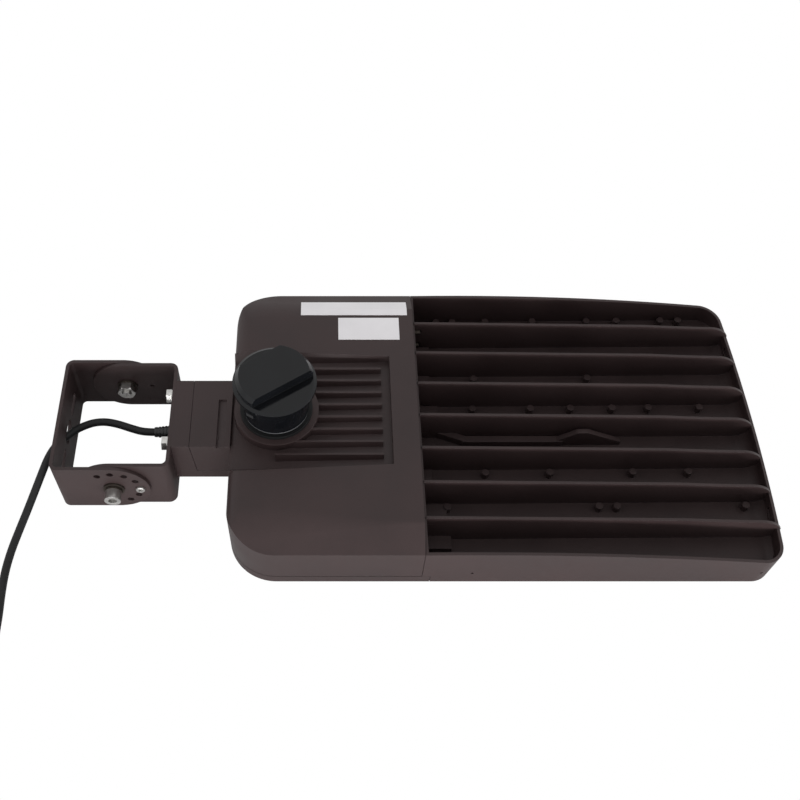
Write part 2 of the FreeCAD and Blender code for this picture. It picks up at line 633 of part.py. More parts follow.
def lens_seal(x):
    """Rubber frame around a board, between the lens plate and the heat sink."""
    m = LENS_MARGIN
    outer = box(x - m, x + BOARD_LENGTH + m, -BOARD_WIDTH / 2 - m, BOARD_WIDTH / 2 + m,
                lens_top(), UNDER)
    inner = box(x - 0.5, x + BOARD_LENGTH + 0.5, -BOARD_WIDTH / 2 - 0.5, BOARD_WIDTH / 2 + 0.5,
                lens_top() - 1, UNDER + 1)
    return outer.cut(inner)


def frame_ends():
    x0, x1 = board_places()
    return x0 - LENS_MARGIN - 12, x1 + BOARD_LENGTH + LENS_MARGIN + 12


def frame_screw_places():
    x0, x1 = frame_ends()
    mid = (x0 + x1) / 2
    edge = FRAME_HALF - FRAME_SCREW_INSET
    columns = (x0 + FRAME_SCREW_INSET, mid, x1 - FRAME_SCREW_INSET)
    return [(x, y) for x in columns for y in (-edge, 0, edge)]


def lens_frame():
    """Frame that clamps both lens plates; its outer rim is what the light lies on."""
    x0, x1 = frame_ends()
    under = lens_top() - LENS_PLATE
    frame = plate(x0, x1, FRAME_HALF, FRAME_LOW, UNDER, 12)
    frame = frame.cut(plate(x0 + 4, x1 - 4, FRAME_HALF - 4, FRAME_LOW - 1, under - FRAME_PLATE, 8))
    m = LENS_MARGIN
    for x in board_places():
        seat = box(x - m - 0.3, x + BOARD_LENGTH + m + 0.3, -BOARD_WIDTH / 2 - m - 0.3,
                   BOARD_WIDTH / 2 + m + 0.3, under, UNDER + 1)
        window = box(x - m + FRAME_LIP, x + BOARD_LENGTH + m - FRAME_LIP,
                     -BOARD_WIDTH / 2 - m + FRAME_LIP, BOARD_WIDTH / 2 + m - FRAME_LIP, 0, UNDER)
        frame = frame.cut(seat).cut(window)
    for x, y in frame_screw_places():
        frame = frame.cut(rod(FRAME_SCREW / 2 + 0.2, 30, (x, y, -1)))
    return frame.removeSplitter()


def frame_screws():
    screws = []
    low = lens_top() - LENS_PLATE - FRAME_PLATE
    for x, y in frame_screw_places():
        shank = rod(FRAME_SCREW / 2, UNDER + 3.5 - low, (x, y, low))
        head = rod(3.6, 2.6, (x, y, low - 2.6))
        drive = rod(1.4, 1.6, (x, y, low - 2.6))
        screws.append(shank.fuse(head).cut(drive).removeSplitter())
    return many(screws)


# ---------------------------------------------------------------- brackets
def bent_plate(half, x_back, x_pivot, facing):
    """A U of bent steel: a back plate and two arms with round ends about the pivot."""
    reach = abs(x_pivot - x_back) + ARM_HEIGHT
    x0, x1 = min(x_back, x_back + facing * reach), max(x_back, x_back + facing * reach)
    outer = round_upright(box(x0, x1, -half, half, 0, ARM_HEIGHT), PLATE_BEND,
                          lambda x: abs(x - x_back) < 1)
    inner = box(x0 + PLATE if facing > 0 else x0 - 1, x1 + 1 if facing > 0 else x1 - PLATE,
                -half + PLATE, half - PLATE, -1, ARM_HEIGHT + 1)
    inner = round_upright(inner, PLATE_BEND - PLATE, lambda x: abs(x - x_back) < PLATE + 1)
    bent = outer.cut(inner)
    keep = box(min(x_back, x_pivot), max(x_back, x_pivot), -half - 1, half + 1, -1, ARM_HEIGHT + 1)
    keep = keep.fuse(rod(ARM_HEIGHT / 2, 2 * half + 2, (x_pivot, -half - 1, Z_PIVOT), (0, 1, 0)))
    return bent.common(keep)


def pivot_hole(radius):
    return rod(radius, 2 * ARM_OUT + 40, (X_PIVOT, -ARM_OUT - 20, Z_PIVOT), (0, 1, 0))


def long_hole(y, length, width):
    """A round-ended slot along Y through the back of the yoke."""
    straight = (length - width) / 2
    x = X_YOKE - 1
    cut = box(x, x + PLATE + 2, y - straight, y + straight, Z_PIVOT - width / 2, Z_PIVOT + width / 2)
    for side in (-1, 1):
        cut = cut.fuse(rod(width / 2, PLATE + 2, (x, y + side * straight, Z_PIVOT), (1, 0, 0)))
    return cut


def index_place(angle):
    turn = math.radians(angle)
    return X_PIVOT + INDEX_RADIUS * math.cos(turn), Z_PIVOT + INDEX_RADIUS * math.sin(turn)


def yoke():
    frame = bent_plate(ARM_OUT, X_YOKE, X_PIVOT, 1).cut(pivot_hole(BOLT / 2 + BOLT_CLEAR))
    for y, length, width in ((-SLOT_PITCH / 2, SLOT_LENGTH, SLOT_WIDTH),
                             (0, CORD_SLOT_LENGTH, CORD_SLOT_WIDTH),
                             (SLOT_PITCH / 2, SLOT_LENGTH, SLOT_WIDTH)):
        frame = frame.cut(long_hole(y, length, width))
    for i in range(7):
        x, z = index_place(-60 + i * INDEX_STEP)
        radius = INDEX_HOLE if i != 2 else INDEX_SCREW / 2 + 0.05
        frame = frame.cut(rod(radius, PLATE + 2, (x, -ARM_OUT - 1, z), (0, 1, 0)))
    x, z = index_place(0)
    frame = frame.cut(rod(2.2, PLATE + 2, (x, ARM_OUT - PLATE - 1, z), (0, 1, 0)))
    return frame.removeSplitter()


def tilt_bracket():
    back = X_ADAPTER
    frame = bent_plate(ARM_IN, back, X_PIVOT, -1).cut(pivot_hole(BOLT / 2 + BOLT_CLEAR))
    y0, y1 = -ARM_IN - 1, -ARM_IN + PLATE + 1
    half_sweep = max(TILT_UP, TILT_DOWN) + 4.0
    width = INDEX_SCREW / 2 + 0.5
    band = ring(INDEX_RADIUS + width, INDEX_RADIUS - width, y1 - y0, (X_PIVOT, y0, Z_PIVOT), (0, 1, 0))
    far = 80.0
    ends = [(X_PIVOT + far * math.cos(math.radians(a)), Z_PIVOT + far * math.sin(math.radians(a)))
            for a in (-half_sweep, 0, half_sweep)]
    sector = slab([(X_PIVOT, y0, Z_PIVOT)] + [(x, y0, z) for x, z in ends], (0, y1 - y0, 0))
    frame = frame.cut(band.common(sector))
    for angle in (-half_sweep, half_sweep):
        x, z = index_place(angle)
        frame = frame.cut(rod(width, y1 - y0, (x, y0, z), (0, 1, 0)))
    x, z = index_place(0)
    frame = frame.cut(rod(2.2, PLATE + 2, (x, ARM_IN - PLATE - 1, z), (0, 1, 0)))
    frame = frame.cut(rod(GLAND_THREAD, PLATE + 2, (back - PLATE - 1, 0, Z_PIVOT), (1, 0, 0)))
    for y, z in bracket_screw_places():
        frame = frame.cut(rod(BRACKET_SCREW / 2 + 0.3, PLATE + 2, (back - PLATE - 1, y, z), (1, 0, 0)))
    return frame.removeSplitter()


def bracket_screw_places():
    reach = NECK_WIDTH / 2 - 11
    return [(y, Z_PIVOT + z) for y in (-reach, reach) for z in (-BRACKET_SCREW_RISE, BRACKET_SCREW_RISE)]


def bolt_sides():
    """The two pivot bolts: the side, and the outer and inner faces of the nested arms."""
    return [(side, side * ARM_OUT, side * (ARM_IN - PLATE)) for side in (-1, 1)]


def pivot_bolts():
    bolts = []
    for side, outer, inner in bolt_sides():
        out = (0, side, 0)
        face = outer + side * (WASHER_THICK + SPRING_THICK)
        head = rod(HEAD_RADIUS, HEAD_HEIGHT, (X_PIVOT, face, Z_PIVOT), out)
        inside = WASHER_THICK + NUT_HEIGHT + 2.5
        shank = rod(BOLT / 2, abs(face - inner) + inside, (X_PIVOT, inner - side * inside, Z_PIVOT), out)
        socket = hexagon(8.0, 6.0, (X_PIVOT, face + side * (HEAD_HEIGHT - 5.0), Z_PIVOT), side)
        bolts.append(head.fuse(shank).cut(socket).removeSplitter())
    return many(bolts)


def pivot_washers():
    rings = []
    for side, outer, inner in bolt_sides():
        hole = BOLT / 2 + BOLT_CLEAR
        rings.append(ring(10.5, hole, WASHER_THICK, (X_PIVOT, outer, Z_PIVOT), (0, side, 0)))
        rings.append(ring(10.5, hole, WASHER_THICK, (X_PIVOT, inner, Z_PIVOT), (0, -side, 0)))
    return many(rings)


def spring_washers():
    rings = []
    for side, outer, inner in bolt_sides():
        at = (X_PIVOT, outer + side * WASHER_THICK, Z_PIVOT)
        coil = ring(8.6, BOLT / 2 + BOLT_CLEAR, SPRING_THICK, at, (0, side, 0))
        gap = box(X_PIVOT + 3, X_PIVOT + 10, min(at[1], at[1] + side * SPRING_THICK) - 0.5,
                  max(at[1], at[1] + side * SPRING_THICK) + 0.5, Z_PIVOT - 0.5, Z_PIVOT + 0.5)
        rings.append(coil.cut(gap))
    return many(rings)


def pivot_nuts():
    nuts = []
    for side, outer, inner in bolt_sides():
        start = inner - side * WASHER_THICK
        nut = hexagon(NUT_FLATS, NUT_HEIGHT, (X_PIVOT, start, Z_PIVOT), -side)
        cone = Part.makeCone(NUT_FLATS / 2 + 6.4, NUT_FLATS / 2 - 0.2, NUT_HEIGHT + 4.2,
                             V(X_PIVOT, start + side * 3.0, Z_PIVOT), V(0, -side, 0))
        nut = nut.common(cone)
        nuts.append(nut.cut(rod(BOLT / 2 + 0.02, 30, (X_PIVOT, start + side * 5, Z_PIVOT), (0, -side, 0))))
    return many(nuts)


def index_screw():
    x, z = index_place(0)
    shank = rod(INDEX_SCREW / 2, PLATE * 2 + NESTING_GAP + 1.0, (x, -ARM_OUT, z), (0, 1, 0))
    head = rod(4.6, 3.0, (x, -ARM_OUT, z), (0, -1, 0))
    head = head.makeFillet(1.2, [e for e in head.Edges if abs(e.CenterOfMass.y + ARM_OUT + 3) < 0.01
                                 and len(e.Vertexes) == 1])
    drive = rod(1.7, 2.0, (x, -ARM_OUT - 1.2, z), (0, -1, 0))
    return head.fuse(shank).cut(drive).removeSplitter()


def arm_adapter():
    """Cast block between bracket and neck, with a lip that runs on under the neck."""
    half = NECK_WIDTH / 2
    slant = ADAPTER_SLANT
    lip_x = X_BOX - SEAM
    flange = slab([(X_ADAPTER, -half, NECK_TOP), (X_NECK - SEAM, -half, NECK_TOP),
                   (X_NECK - SEAM + slant, -half, NECK_BASE), (X_ADAPTER, -half, NECK_BASE)],
                  (0, 2 * half, 0))
    lip = box(X_ADAPTER + 5, lip_x, -half, half, NECK_BASE, NECK_SEAM - SEAM)
    cast = flange.fuse(lip)
    cast = cast.cut(box(X_NECK + 8, lip_x - 6, -half + 20, half - 20, NECK_BASE - 1, NECK_SEAM - 5))
    cast = cast.cut(rod(GLAND_THREAD, 40, (X_ADAPTER - 1, 0, Z_PIVOT), (1, 0, 0)))
    for y, z in bracket_screw_places():
        cast = cast.cut(rod(BRACKET_SCREW / 2 + 0.05, 13.5, (X_ADAPTER - 1, y, z), (1, 0, 0)))
    for y in (-half + 12, half - 12):
        cast = cast.cut(rod(2.7, 20, (X_NECK + 22, y, NECK_BASE - 1)))
        cast = cast.cut(rod(4.6, 4.2, (X_NECK + 22, y, NECK_BASE - 1)))
    return cast.removeSplitter()


def neck_screws():
    screws = []
    for y in (-NECK_WIDTH / 2 + 12, NECK_WIDTH / 2 - 12):
        x, z = X_NECK + 22, NECK_BASE + 0.2
        shank = rod(2.5, 22, (x, y, z))
        screws.append(shank.fuse(rod(4.3, 3.0, (x, y, z))).cut(rod(1.6, 1.8, (x, y, z))))
    return many([s.removeSplitter() for s in screws])


def bracket_screws():
    screws = []
    face = X_ADAPTER - PLATE
    for y, z in bracket_screw_places():
        washer = ring(7.5, BRACKET_SCREW / 2 + 0.2, 1.6, (face - 1.6, y, z), (1, 0, 0))
        reach = BRACKET_FLATS / math.sqrt(3)
        points = [(face - 1.6, y + reach * math.cos(math.radians(60 * i)),
                   z + reach * math.sin(math.radians(60 * i))) for i in range(6)]
        head = slab(points, (-5.3, 0, 0))
        shank = rod(BRACKET_SCREW / 2, 16.5, (face - 1.6, y, z), (1, 0, 0))
        screws.append(head.fuse(shank).removeSplitter())
        screws.append(washer)
    return many(screws)


def cord_gland():
    """Strain relief: thread in the adapter, thin hexagon flange and a tapered sleeve."""
    face = X_ADAPTER - PLATE
    wide, narrow = CORD / 2 + 3.0, CORD / 2 + 1.0
    thread = rod(GLAND_THREAD - 0.2, PLATE + 12, (face, 0, Z_PIVOT), (1, 0, 0))
    points = [(face, 10.5 * math.cos(math.radians(60 * i)), Z_PIVOT + 10.5 * math.sin(
        math.radians(60 * i))) for i in range(6)]
    flange = slab(points, (-GLAND_FLANGE, 0, 0))
    sleeve = Part.makeCone(wide, narrow, GLAND_SLEEVE, V(face - GLAND_FLANGE, 0, Z_PIVOT), V(-1, 0, 0))
    body = thread.fuse(flange).fuse(sleeve)
    for i in range(4):
        along = GLAND_SLEEVE * (i + 1) / 5.2
        radius = wide + (narrow - wide) * along / GLAND_SLEEVE
        body = body.cut(ring(radius + 2, radius - 0.7, 1.4, (face - GLAND_FLANGE - along, 0, Z_PIVOT),
                             (-1, 0, 0)))
    return body.cut(rod(CORD / 2 + 0.05, 80, (face - 60, 0, Z_PIVOT), (1, 0, 0))).removeSplitter()


def gland_tip():
    return X_ADAPTER - PLATE - GLAND_FLANGE - GLAND_SLEEVE


# ---------------------------------------------------------------- inside the box
def inner_cord():
    """The jacketed end of the supply cord, from the gland to the terminal block."""
    x0 = gland_tip()
    return rod(CORD / 2, TERMINAL_X - x0, (x0, 0, Z_PIVOT), (1, 0, 0))


def terminal_block():
    x = TERMINAL_X
    base = FLOOR_GAP + WALL
    block = box(x, x + 30, -26, 26, base, Z_PIVOT + 9)
    for i in range(3):
        y = (i - 1) * 16
        block = block.cut(rod(3.0, 6, (x + 15, y, Z_PIVOT + 5)))
        block = block.cut(box(x + 22, x + 31, y - 4, y + 4, Z_PIVOT - 4, Z_PIVOT + 4))
    return block


def terminal_screws():
    return many([rod(2.9, 3.5, (TERMINAL_X + 15, (i - 1) * 16, Z_PIVOT + 5)).cut(
        box(TERMINAL_X + 10, TERMINAL_X + 20, (i - 1) * 16 - 0.5, (i - 1) * 16 + 0.5,
            Z_PIVOT + 7.5, Z_PIVOT + 9)) for i in range(3)])


def led_driver():
    base = FLOOR_GAP + WALL
    x0 = X_SPLIT - WALL - 14 - DRIVER_WIDTH
    y = DRIVER_LENGTH / 2
    case = box(x0, x0 + DRIVER_WIDTH, -y, y, base, base + DRIVER_HEIGHT)
    case = case.makeFillet(2.0, [e for e in case.Edges if e.Length > DRIVER_LENGTH - 1])
    for side in (-1, 1):
        ear = box(x0 + 4, x0 + DRIVER_WIDTH - 4, min(side * y, side * (y + 12)),
                  max(side * y, side * (y + 12)), base, base + 3)
        case = case.fuse(ear)
        for x in driver_screw_columns():
            case = case.cut(rod(2.3, 10, (x, side * (y + 6), base - 1)))
    return case.removeSplitter()


def driver_screw_columns():
    x0 = X_SPLIT - WALL - 14 - DRIVER_WIDTH
    return (x0 + 14, x0 + DRIVER_WIDTH - 14)


def driver_screws():
    base = FLOOR_GAP + WALL
    y = DRIVER_LENGTH / 2 + 6
    return many([rod(2.0, 3.0, (x, s * y, base)).fuse(rod(3.8, 2.4, (x, s * y, base + 3)))
                 .cut(rod(1.5, 1.6, (x, s * y, base + 3.8))).removeSplitter()
                 for x in driver_screw_columns() for s in (-1, 1)])


def surge_protector():
    base = FLOOR_GAP + WALL
    x0 = X_BOX + 50
    body = box(x0, x0 + 32, 48, 104, base, base + 26)
    return body.makeFillet(2.5, [e for e in body.Edges if abs(e.CenterOfMass.z - base - 26) < 0.1])


# ---------------------------------------------------------------- receptacle and cap
def receptacle():
    """Seven-way twist-lock receptacle: a flange on the seat and a barrel that turns in it."""
    flange = rod(RECEPTACLE_RADIUS + 4.5, 4.0, (X_SEAT, 0, SEAT_TOP))
    barrel = rod(RECEPTACLE_RADIUS, 15.0, (X_SEAT, 0, SEAT_TOP - 15.0))
    hub = rod(RECEPTACLE_RADIUS - 4, RECEPTACLE_HEIGHT, (X_SEAT, 0, SEAT_TOP))
    body = flange.fuse(barrel).fuse(hub)
    for i in range(3):
        body = body.cut(blade(i, 1.6, 1.0, SEAT_TOP - 14, RECEPTACLE_HEIGHT + 15))
    for i in range(4):
        turn = math.radians(45 + 90 * i)
        x, y = X_SEAT + PAD_CIRCLE * math.cos(turn), PAD_CIRCLE * math.sin(turn)
        body = body.cut(rod(PAD_RADIUS + 0.1, 1.2, (x, y, SEAT_TOP + RECEPTACLE_HEIGHT - 1.0)))
    return body.removeSplitter()


def blade(i, spare, side_spare, low, height):
    """One of three curved twist-lock blades on a circle, or its slot when spare."""
    middle, half_turn = BLADE_ANGLES[i]
    half_turn += math.degrees(spare / BLADE_CIRCLE) if spare else 0
    outer = BLADE_CIRCLE + 0.8 + side_spare
    inner = BLADE_CIRCLE - 0.8 - side_spare
    band = ring(outer, inner, height, (X_SEAT, 0, low))
    points = [(X_SEAT, 0, low)]
    for step in range(5):
        turn = math.radians(middle - half_turn + half_turn * step / 2)
        points.append((X_SEAT + 40 * math.cos(turn), 40 * math.sin(turn), low))
    return band.common(slab(points, (0, 0, height)))


def pad_contacts():
    pads = []
    for i in range(4):
        turn = math.radians(45 + 90 * i)
        x, y = X_SEAT + PAD_CIRCLE * math.cos(turn), PAD_CIRCLE * math.sin(turn)
        pads.append(rod(PAD_RADIUS, 1.0, (x, y, SEAT_TOP + RECEPTACLE_HEIGHT - 1.0)))
    return many(pads)


def blade_contacts():
    """Spring contacts at the foot of the three blade slots."""
    return many([blade(i, 0, -0.1, SEAT_TOP - 14, 3.0) for i in range(3)])


def receptacle_clip():
    """Split ring under the seat that keeps the receptacle in while it turns."""
    return ring(RECEPTACLE_RADIUS + 3.5, RECEPTACLE_RADIUS - 5, 2.0, (X_SEAT, 0, SEAT_TOP - 17.0))


def cap_shell():
    """Twist-lock cap: a stem skirt, a flared rim and a raised grip across the top."""
    base = SEAT_TOP + CAP_FOOT
    rim = SEAT_TOP + CAP_RIM_LOW
    top = SEAT_TOP + CAP_HEIGHT
    at = V(X_SEAT, 0, 0)
    outline = [(0, base), (CAP_STEM_RADIUS, base), (CAP_STEM_RADIUS - 1.5, rim - 9),
               (CAP_RADIUS - 1.5, rim - 1), (CAP_RADIUS, rim + 1), (CAP_RADIUS, rim + 4),
               (CAP_RADIUS - 3, rim + 6), (0, rim + 6)]
    body = turned(outline)
    grip = rod(CAP_RADIUS - 3.0, top - rim - 4, (X_SEAT, 0, rim + 4))
    edge = Part.makeCone(CAP_RADIUS + 3.5, CAP_RADIUS - 6.5, top - rim - 2, V(X_SEAT, 0, rim + 2))
    grip = grip.common(edge)
    turn = math.radians(GRIP_ANGLE)
    bar = box(X_SEAT - 50, X_SEAT + 50, -GRIP_NEAR, GRIP_FAR, rim, top + 1)
    bar.rotate(V(X_SEAT, 0, 0), V(0, 0, 1), GRIP_ANGLE)
    body = body.fuse(grip.common(bar))
    wall = 3.0
    hollow = turned([(0, base - 1), (CAP_STEM_RADIUS - wall, base - 1),
                     (CAP_STEM_RADIUS - wall - 1.5, rim - 9), (CAP_STEM_RADIUS - wall - 2, rim - 2),
                     (0, rim - 2)])
    body = body.cut(hollow)
    web = rod(CAP_STEM_RADIUS - 2.0, 3.0, (X_SEAT, 0, base + 14))
    pointer = box(X_SEAT - 4, X_SEAT + 4, -CAP_RADIUS - 2.2, -CAP_RADIUS + 3, rim - 3, rim + 1.5)
    pointer.rotate(V(X_SEAT, 0, 0), V(0, 0, 1), -32)
    return body.fuse(web).fuse(pointer).removeSplitter()


def turned(outline):
    """A solid of revolution about the cap's axis."""
    points = [V(X_SEAT + r, 0, z) for r, z in outline]
    face = Part.Face(Part.makePolygon(points + points[:1]))
    return face.revolve(V(X_SEAT, 0, 0), V(0, 0, 1), 360)


def cap_blades():
    low = SEAT_TOP - 8.0
    top = SEAT_TOP + CAP_FOOT + 14
    return many([blade(i, 0, 0, low, top - low) for i in range(3)])


def cap_gasket():
    low = SEAT_TOP + CAP_FOOT - 1.6
    return ring(CAP_STEM_RADIUS - 0.2, CAP_STEM_RADIUS - 2.8, 1.6, (X_SEAT, 0, low))


# ---------------------------------------------------------------- labels
def label(x0, x1, y0, y1):
    """A blank sticker on the flat top, folded over the shoulder where it reaches it."""
    rise = (BOX_TOP - BAND_TOP) / (HALF - TOP_HALF)
    top = [(x0, min(y0, TOP_HALF), BOX_TOP), (x0, min(y1, TOP_HALF), BOX_TOP)]
    over = max(0.0, y1 - TOP_HALF)
    points = [top[0], top[1]]
    if over > 0:
        points.append((x0, y1, BOX_TOP - over * rise))
        points.append((x0, y1, BOX_TOP - over * rise + LABEL_THICK))
    points += [(x0, top[1][1], BOX_TOP + LABEL_THICK), (x0, top[0][1], BOX_TOP + LABEL_THICK)]
    return slab(points, (x1 - x0, 0, 0))


# ---------------------------------------------------------------- supply cord
# Free stretch inside the brackets, from the gland to the slot in the yoke back.
BRIDGE_ROUTE = [(-257.0, 0.0, 35.5), (-268.0, 0.0, 35.5), (-281.0, 3.8, 36.1), (-294.5, 8.6, 36.8),
                (-308.0, 11.6, 37.0), (-320.0, 10.9, 36.6), (-330.2, 7.2, 35.9),
                (-339.0, 2.1, 35.5), (-346.7, -5.6, 35.2)]
# From the slot down to the surface and away past the near left corner.
OUTER_ROUTE = [(-346.7, -5.6, 35.2), (-355.2, -14.1, 34.8688), (-362.4, -27.4, 31.9),
               (-367.8, -43.0, 26.2), (-373.8, -59.0, 18.8), (-380.0, -76.5, 11.8),
               (-386.0, -96.0, 7.0), (-391.0, -117.0, 4.6), (-393.4, -139.5, 4.0),
               (-393.0, -163.0, 4.0), (-391.4, -186.0, 4.2), (-391.1, -206.0, 4.6)]


def rounded_path(points):
    """Straight runs joined by tangent arcs; prints the least arc radius."""
    nodes = [V(*p) for p in points]
    edges, least, length = [], 1e9, 0.0
    here = nodes[0]
    for i in range(1, len(nodes) - 1):
        back, ahead = nodes[i] - nodes[i - 1], nodes[i + 1] - nodes[i]
        turn = back.getAngle(ahead)
        trim = 0.45 * min(back.Length, ahead.Length)
        radius = trim / math.tan(turn / 2)
        u, w = V(back).normalize(), V(ahead).normalize()
        a, b = nodes[i] - u * trim, nodes[i] + w * trim
        inward = (w - u).normalize()
        centre_line = radius / math.cos(turn / 2)
        middle = nodes[i] + inward * (centre_line - radius)
        edges.append(Part.LineSegment(here, a).toShape())
        edges.append(Part.Arc(a, middle, b).toShape())
        here, least = b, min(least, radius)
    edges.append(Part.LineSegment(here, nodes[-1]).toShape())
    return Part.Wire(edges), least


def along_wire(wire, start, heading, radius):
    ring_edge = Part.makeCircle(radius, start, heading)
    return wire.makePipeShell([Part.Wire([ring_edge])], True, False)


def cord_tube(name, route):
    wire, least = rounded_path(route)
    start = V(*route[0])
    solid = along_wire(wire, start, V(*route[1]) - start, CORD / 2)
    expected = math.pi * CORD ** 2 / 4 * wire.Length
    print(name, "length", round(wire.Length, 1), "least radius", round(least, 1), "volume share",
          round(solid.Volume / expected, 4))
    return Part.Solid(solid.Shells[0]) if solid.ShapeType != "Solid" else solid


def coil_point(t):
    """Centre of the coiled cord after t turns, clockwise from its outermost point."""
    middle = COIL_TURNS / 2
    radius = COIL_OUTER - COIL_PITCH * middle + COIL_PITCH * abs(t - middle)
    climb = min(1.0, max(0.0, (t - middle + 0.25) / 0.5))
    z = COIL_LIFT + COIL_PITCH * (0.5 - 0.5 * math.cos(math.pi * climb))
    turn = -2 * math.pi * t
    return V(COIL_MIDDLE[0] + radius * math.cos(turn), COIL_MIDDLE[1] + radius * math.sin(turn), z)


def coil_heading(t):
    step = 1e-4
    return (coil_point(t + step) - coil_point(t - step)).normalize()


def bow(a, b, d, corner):
    """The arc from a to b whose two tangents meet at corner, d away from both."""
    middle = (a + b) / 2
    half = (a - middle).Length
    out = (corner - middle).normalize()
    swing = math.acos(min(1.0, half / d))
    return Part.Arc(a, middle + out * (half * math.tan(swing / 2)), b).toShape()


def biarc(p, q, u, w):
    """Two tangent arcs from p heading u to q heading w."""
    v, t = q - p, u + w
    k = 2 * (1 - u.dot(w))
    d = (-v.dot(t) + math.sqrt(v.dot(t) ** 2 + k * v.dot(v))) / k
    joint = (p + q + (u - w) * d) / 2
    return [bow(p, joint, d, p + u * d), bow(joint, q, d, q - w * d)]


def coil_approach():
    """The last run of the loose cord, square to the first turn of the coil."""
    heading = coil_heading(1e-3)
    start = coil_point(0) - heading * CORD
    return [tuple(start - heading * 18.0), tuple(start)]


def cord_coil():
    """The put-away length: a neat two-layer coil, one unbroken tube."""
    quarters = int(round(COIL_TURNS * 4))
    stops = [i / 4 for i in range(quarters + 1)]
    u, w = coil_heading(1e-3), coil_heading(COIL_TURNS - 1e-3)
    start, end = coil_point(0), coil_point(COIL_TURNS)
    edges = [Part.LineSegment(start - u * CORD, start).toShape()]
    for a, b in zip(stops, stops[1:]):
        ua = u if a == 0 else coil_heading(a)
        ub = w if b == COIL_TURNS else coil_heading(b)
        edges += biarc(coil_point(a), coil_point(b), ua, ub)
    edges.append(Part.LineSegment(end, end + w * CORD).toShape())
    wire = Part.Wire(edges)
    solid = along_wire(wire, start - u * CORD, u, CORD / 2)
    print("coil length", round(wire.Length, 1), "volume share",
          round(solid.Volume / (math.pi * CORD ** 2 / 4 * wire.Length), 4))
    print("coil least gap", round(coil_gap(), 2))
    return solid


def coil_gap():
    steps = 60
    spots = [coil_point(i / steps) for i in range(int(COIL_TURNS * steps) + 1)]
    least = 1e9
    for i, a in enumerate(spots):
        for b in spots[i + steps // 3:]:
            least = min(least, (a - b).Length)
    return least - CORD


def coil_tie():
    """Cable tie round both layers on the far side of the coil."""
    inner = COIL_OUTER - COIL_PITCH * COIL_TURNS / 2 - CORD / 2 - 0.6
    outer = COIL_OUTER + CORD / 2 + 0.6
    low, high = COIL_LIFT - CORD / 2 - 0.3, COIL_LIFT + COIL_PITCH + CORD / 2 + 0.4
    x, y = COIL_MIDDLE
    band = box(x - TIE_WIDTH / 2, x + TIE_WIDTH / 2, y + inner - TIE_THICK, y + outer + TIE_THICK,
               low - TIE_THICK, high + TIE_THICK)
    band = band.cut(box(x - TIE_WIDTH, x + TIE_WIDTH, y + inner, y + outer, low, high))
    lock = box(x - 4, x + 4, y + outer + TIE_THICK, y + outer + TIE_THICK + 4, high - 8, high)
    tail = box(x - 1.8, x + 1.8, y + outer + TIE_THICK + 1, y + outer + TIE_THICK + 2.2, high, high + 9)
    return band.fuse(lock).fuse(tail).removeSplitter()


def lead_rods(radius, start, length):
    w = coil_heading(COIL_TURNS - 1e-3)
    end = coil_point(COIL_TURNS) + w * (CORD + start)
    side = w.cross(V(0, 0, 1)).normalize()
    rods = []
    for i in range(3):
        turn = math.radians(90 + 120 * i)
        at = end + side * (1.75 * math.cos(turn)) + V(0, 0, 1.75 * math.sin(turn))
        rods.append(Part.makeCylinder(radius, length, at, w))
    return many(rods)


PIECES = {
    "yoke_bracket": yoke,
    "pivot_bolts": pivot_bolts,
    "pivot_washers": pivot_washers,
    "spring_washers": spring_washers,
    "pivot_nuts": pivot_nuts,
    "index_screw": index_screw,
    "tilt_bracket": tilt_bracket,
    "bracket_screws": bracket_screws,
    "arm_adapter": arm_adapter,
    "neck_screws": neck_screws,
    "cord_gland": cord_gland,
    "driver_housing": housing,
    "driver_door": door,
    "door_gasket": door_gasket,
    "door_screws": door_screws,
    "breather_vent": vent,
    "heat_sink": heat_sink,
    "end_gasket": end_gasket,
    "end_wall_screws": end_screws,
    "led_board_box_end": lambda: led_board(board_places()[0]),
    "led_board_tip_end": lambda: led_board(board_places()[1]),
    "lens_array_box_end": lambda: lens_array(board_places()[0]),
    "lens_array_tip_end": lambda: lens_array(board_places()[1]),
    "lens_seal_box_end": lambda: lens_seal(board_places()[0]),
    "lens_seal_tip_end": lambda: lens_seal(board_places()[1]),
    "lens_frame": lens_frame,
    "lens_frame_screws": frame_screws,
    "inner_cord": inner_cord,
    "terminal_block": terminal_block,
    "terminal_screws": terminal_screws,
    "led_driver": led_driver,
    "led_driver_screws": driver_screws,
    "surge_protector": surge_protector,
    "receptacle": receptacle,
    "receptacle_pads": pad_contacts,
    "receptacle_contacts": blade_contacts,
    "receptacle_clip": receptacle_clip,
    "shorting_cap": cap_shell,
    "cap_blades": cap_blades,
    "cap_gasket": cap_gasket,
    "upper_label": lambda: label(*UPPER_LABEL),
    "lower_label": lambda: label(*LOWER_LABEL),
    "cord_bridge": lambda: cord_tube("bridge", BRIDGE_ROUTE),
    "supply_cord": lambda: cord_tube("outer cord", OUTER_ROUTE + coil_approach()),
    "cord_coil": cord_coil,
    "coil_tie": coil_tie,
    "lead_insulation": lambda: lead_rods(LEAD / 2, 0.0, LEAD_LENGTH),
    "bare_wire_ends": lambda: lead_rods(LEAD / 4, LEAD_LENGTH, STRIP_LENGTH),
}


for name, make in PIECES.items():
    save(name, make())
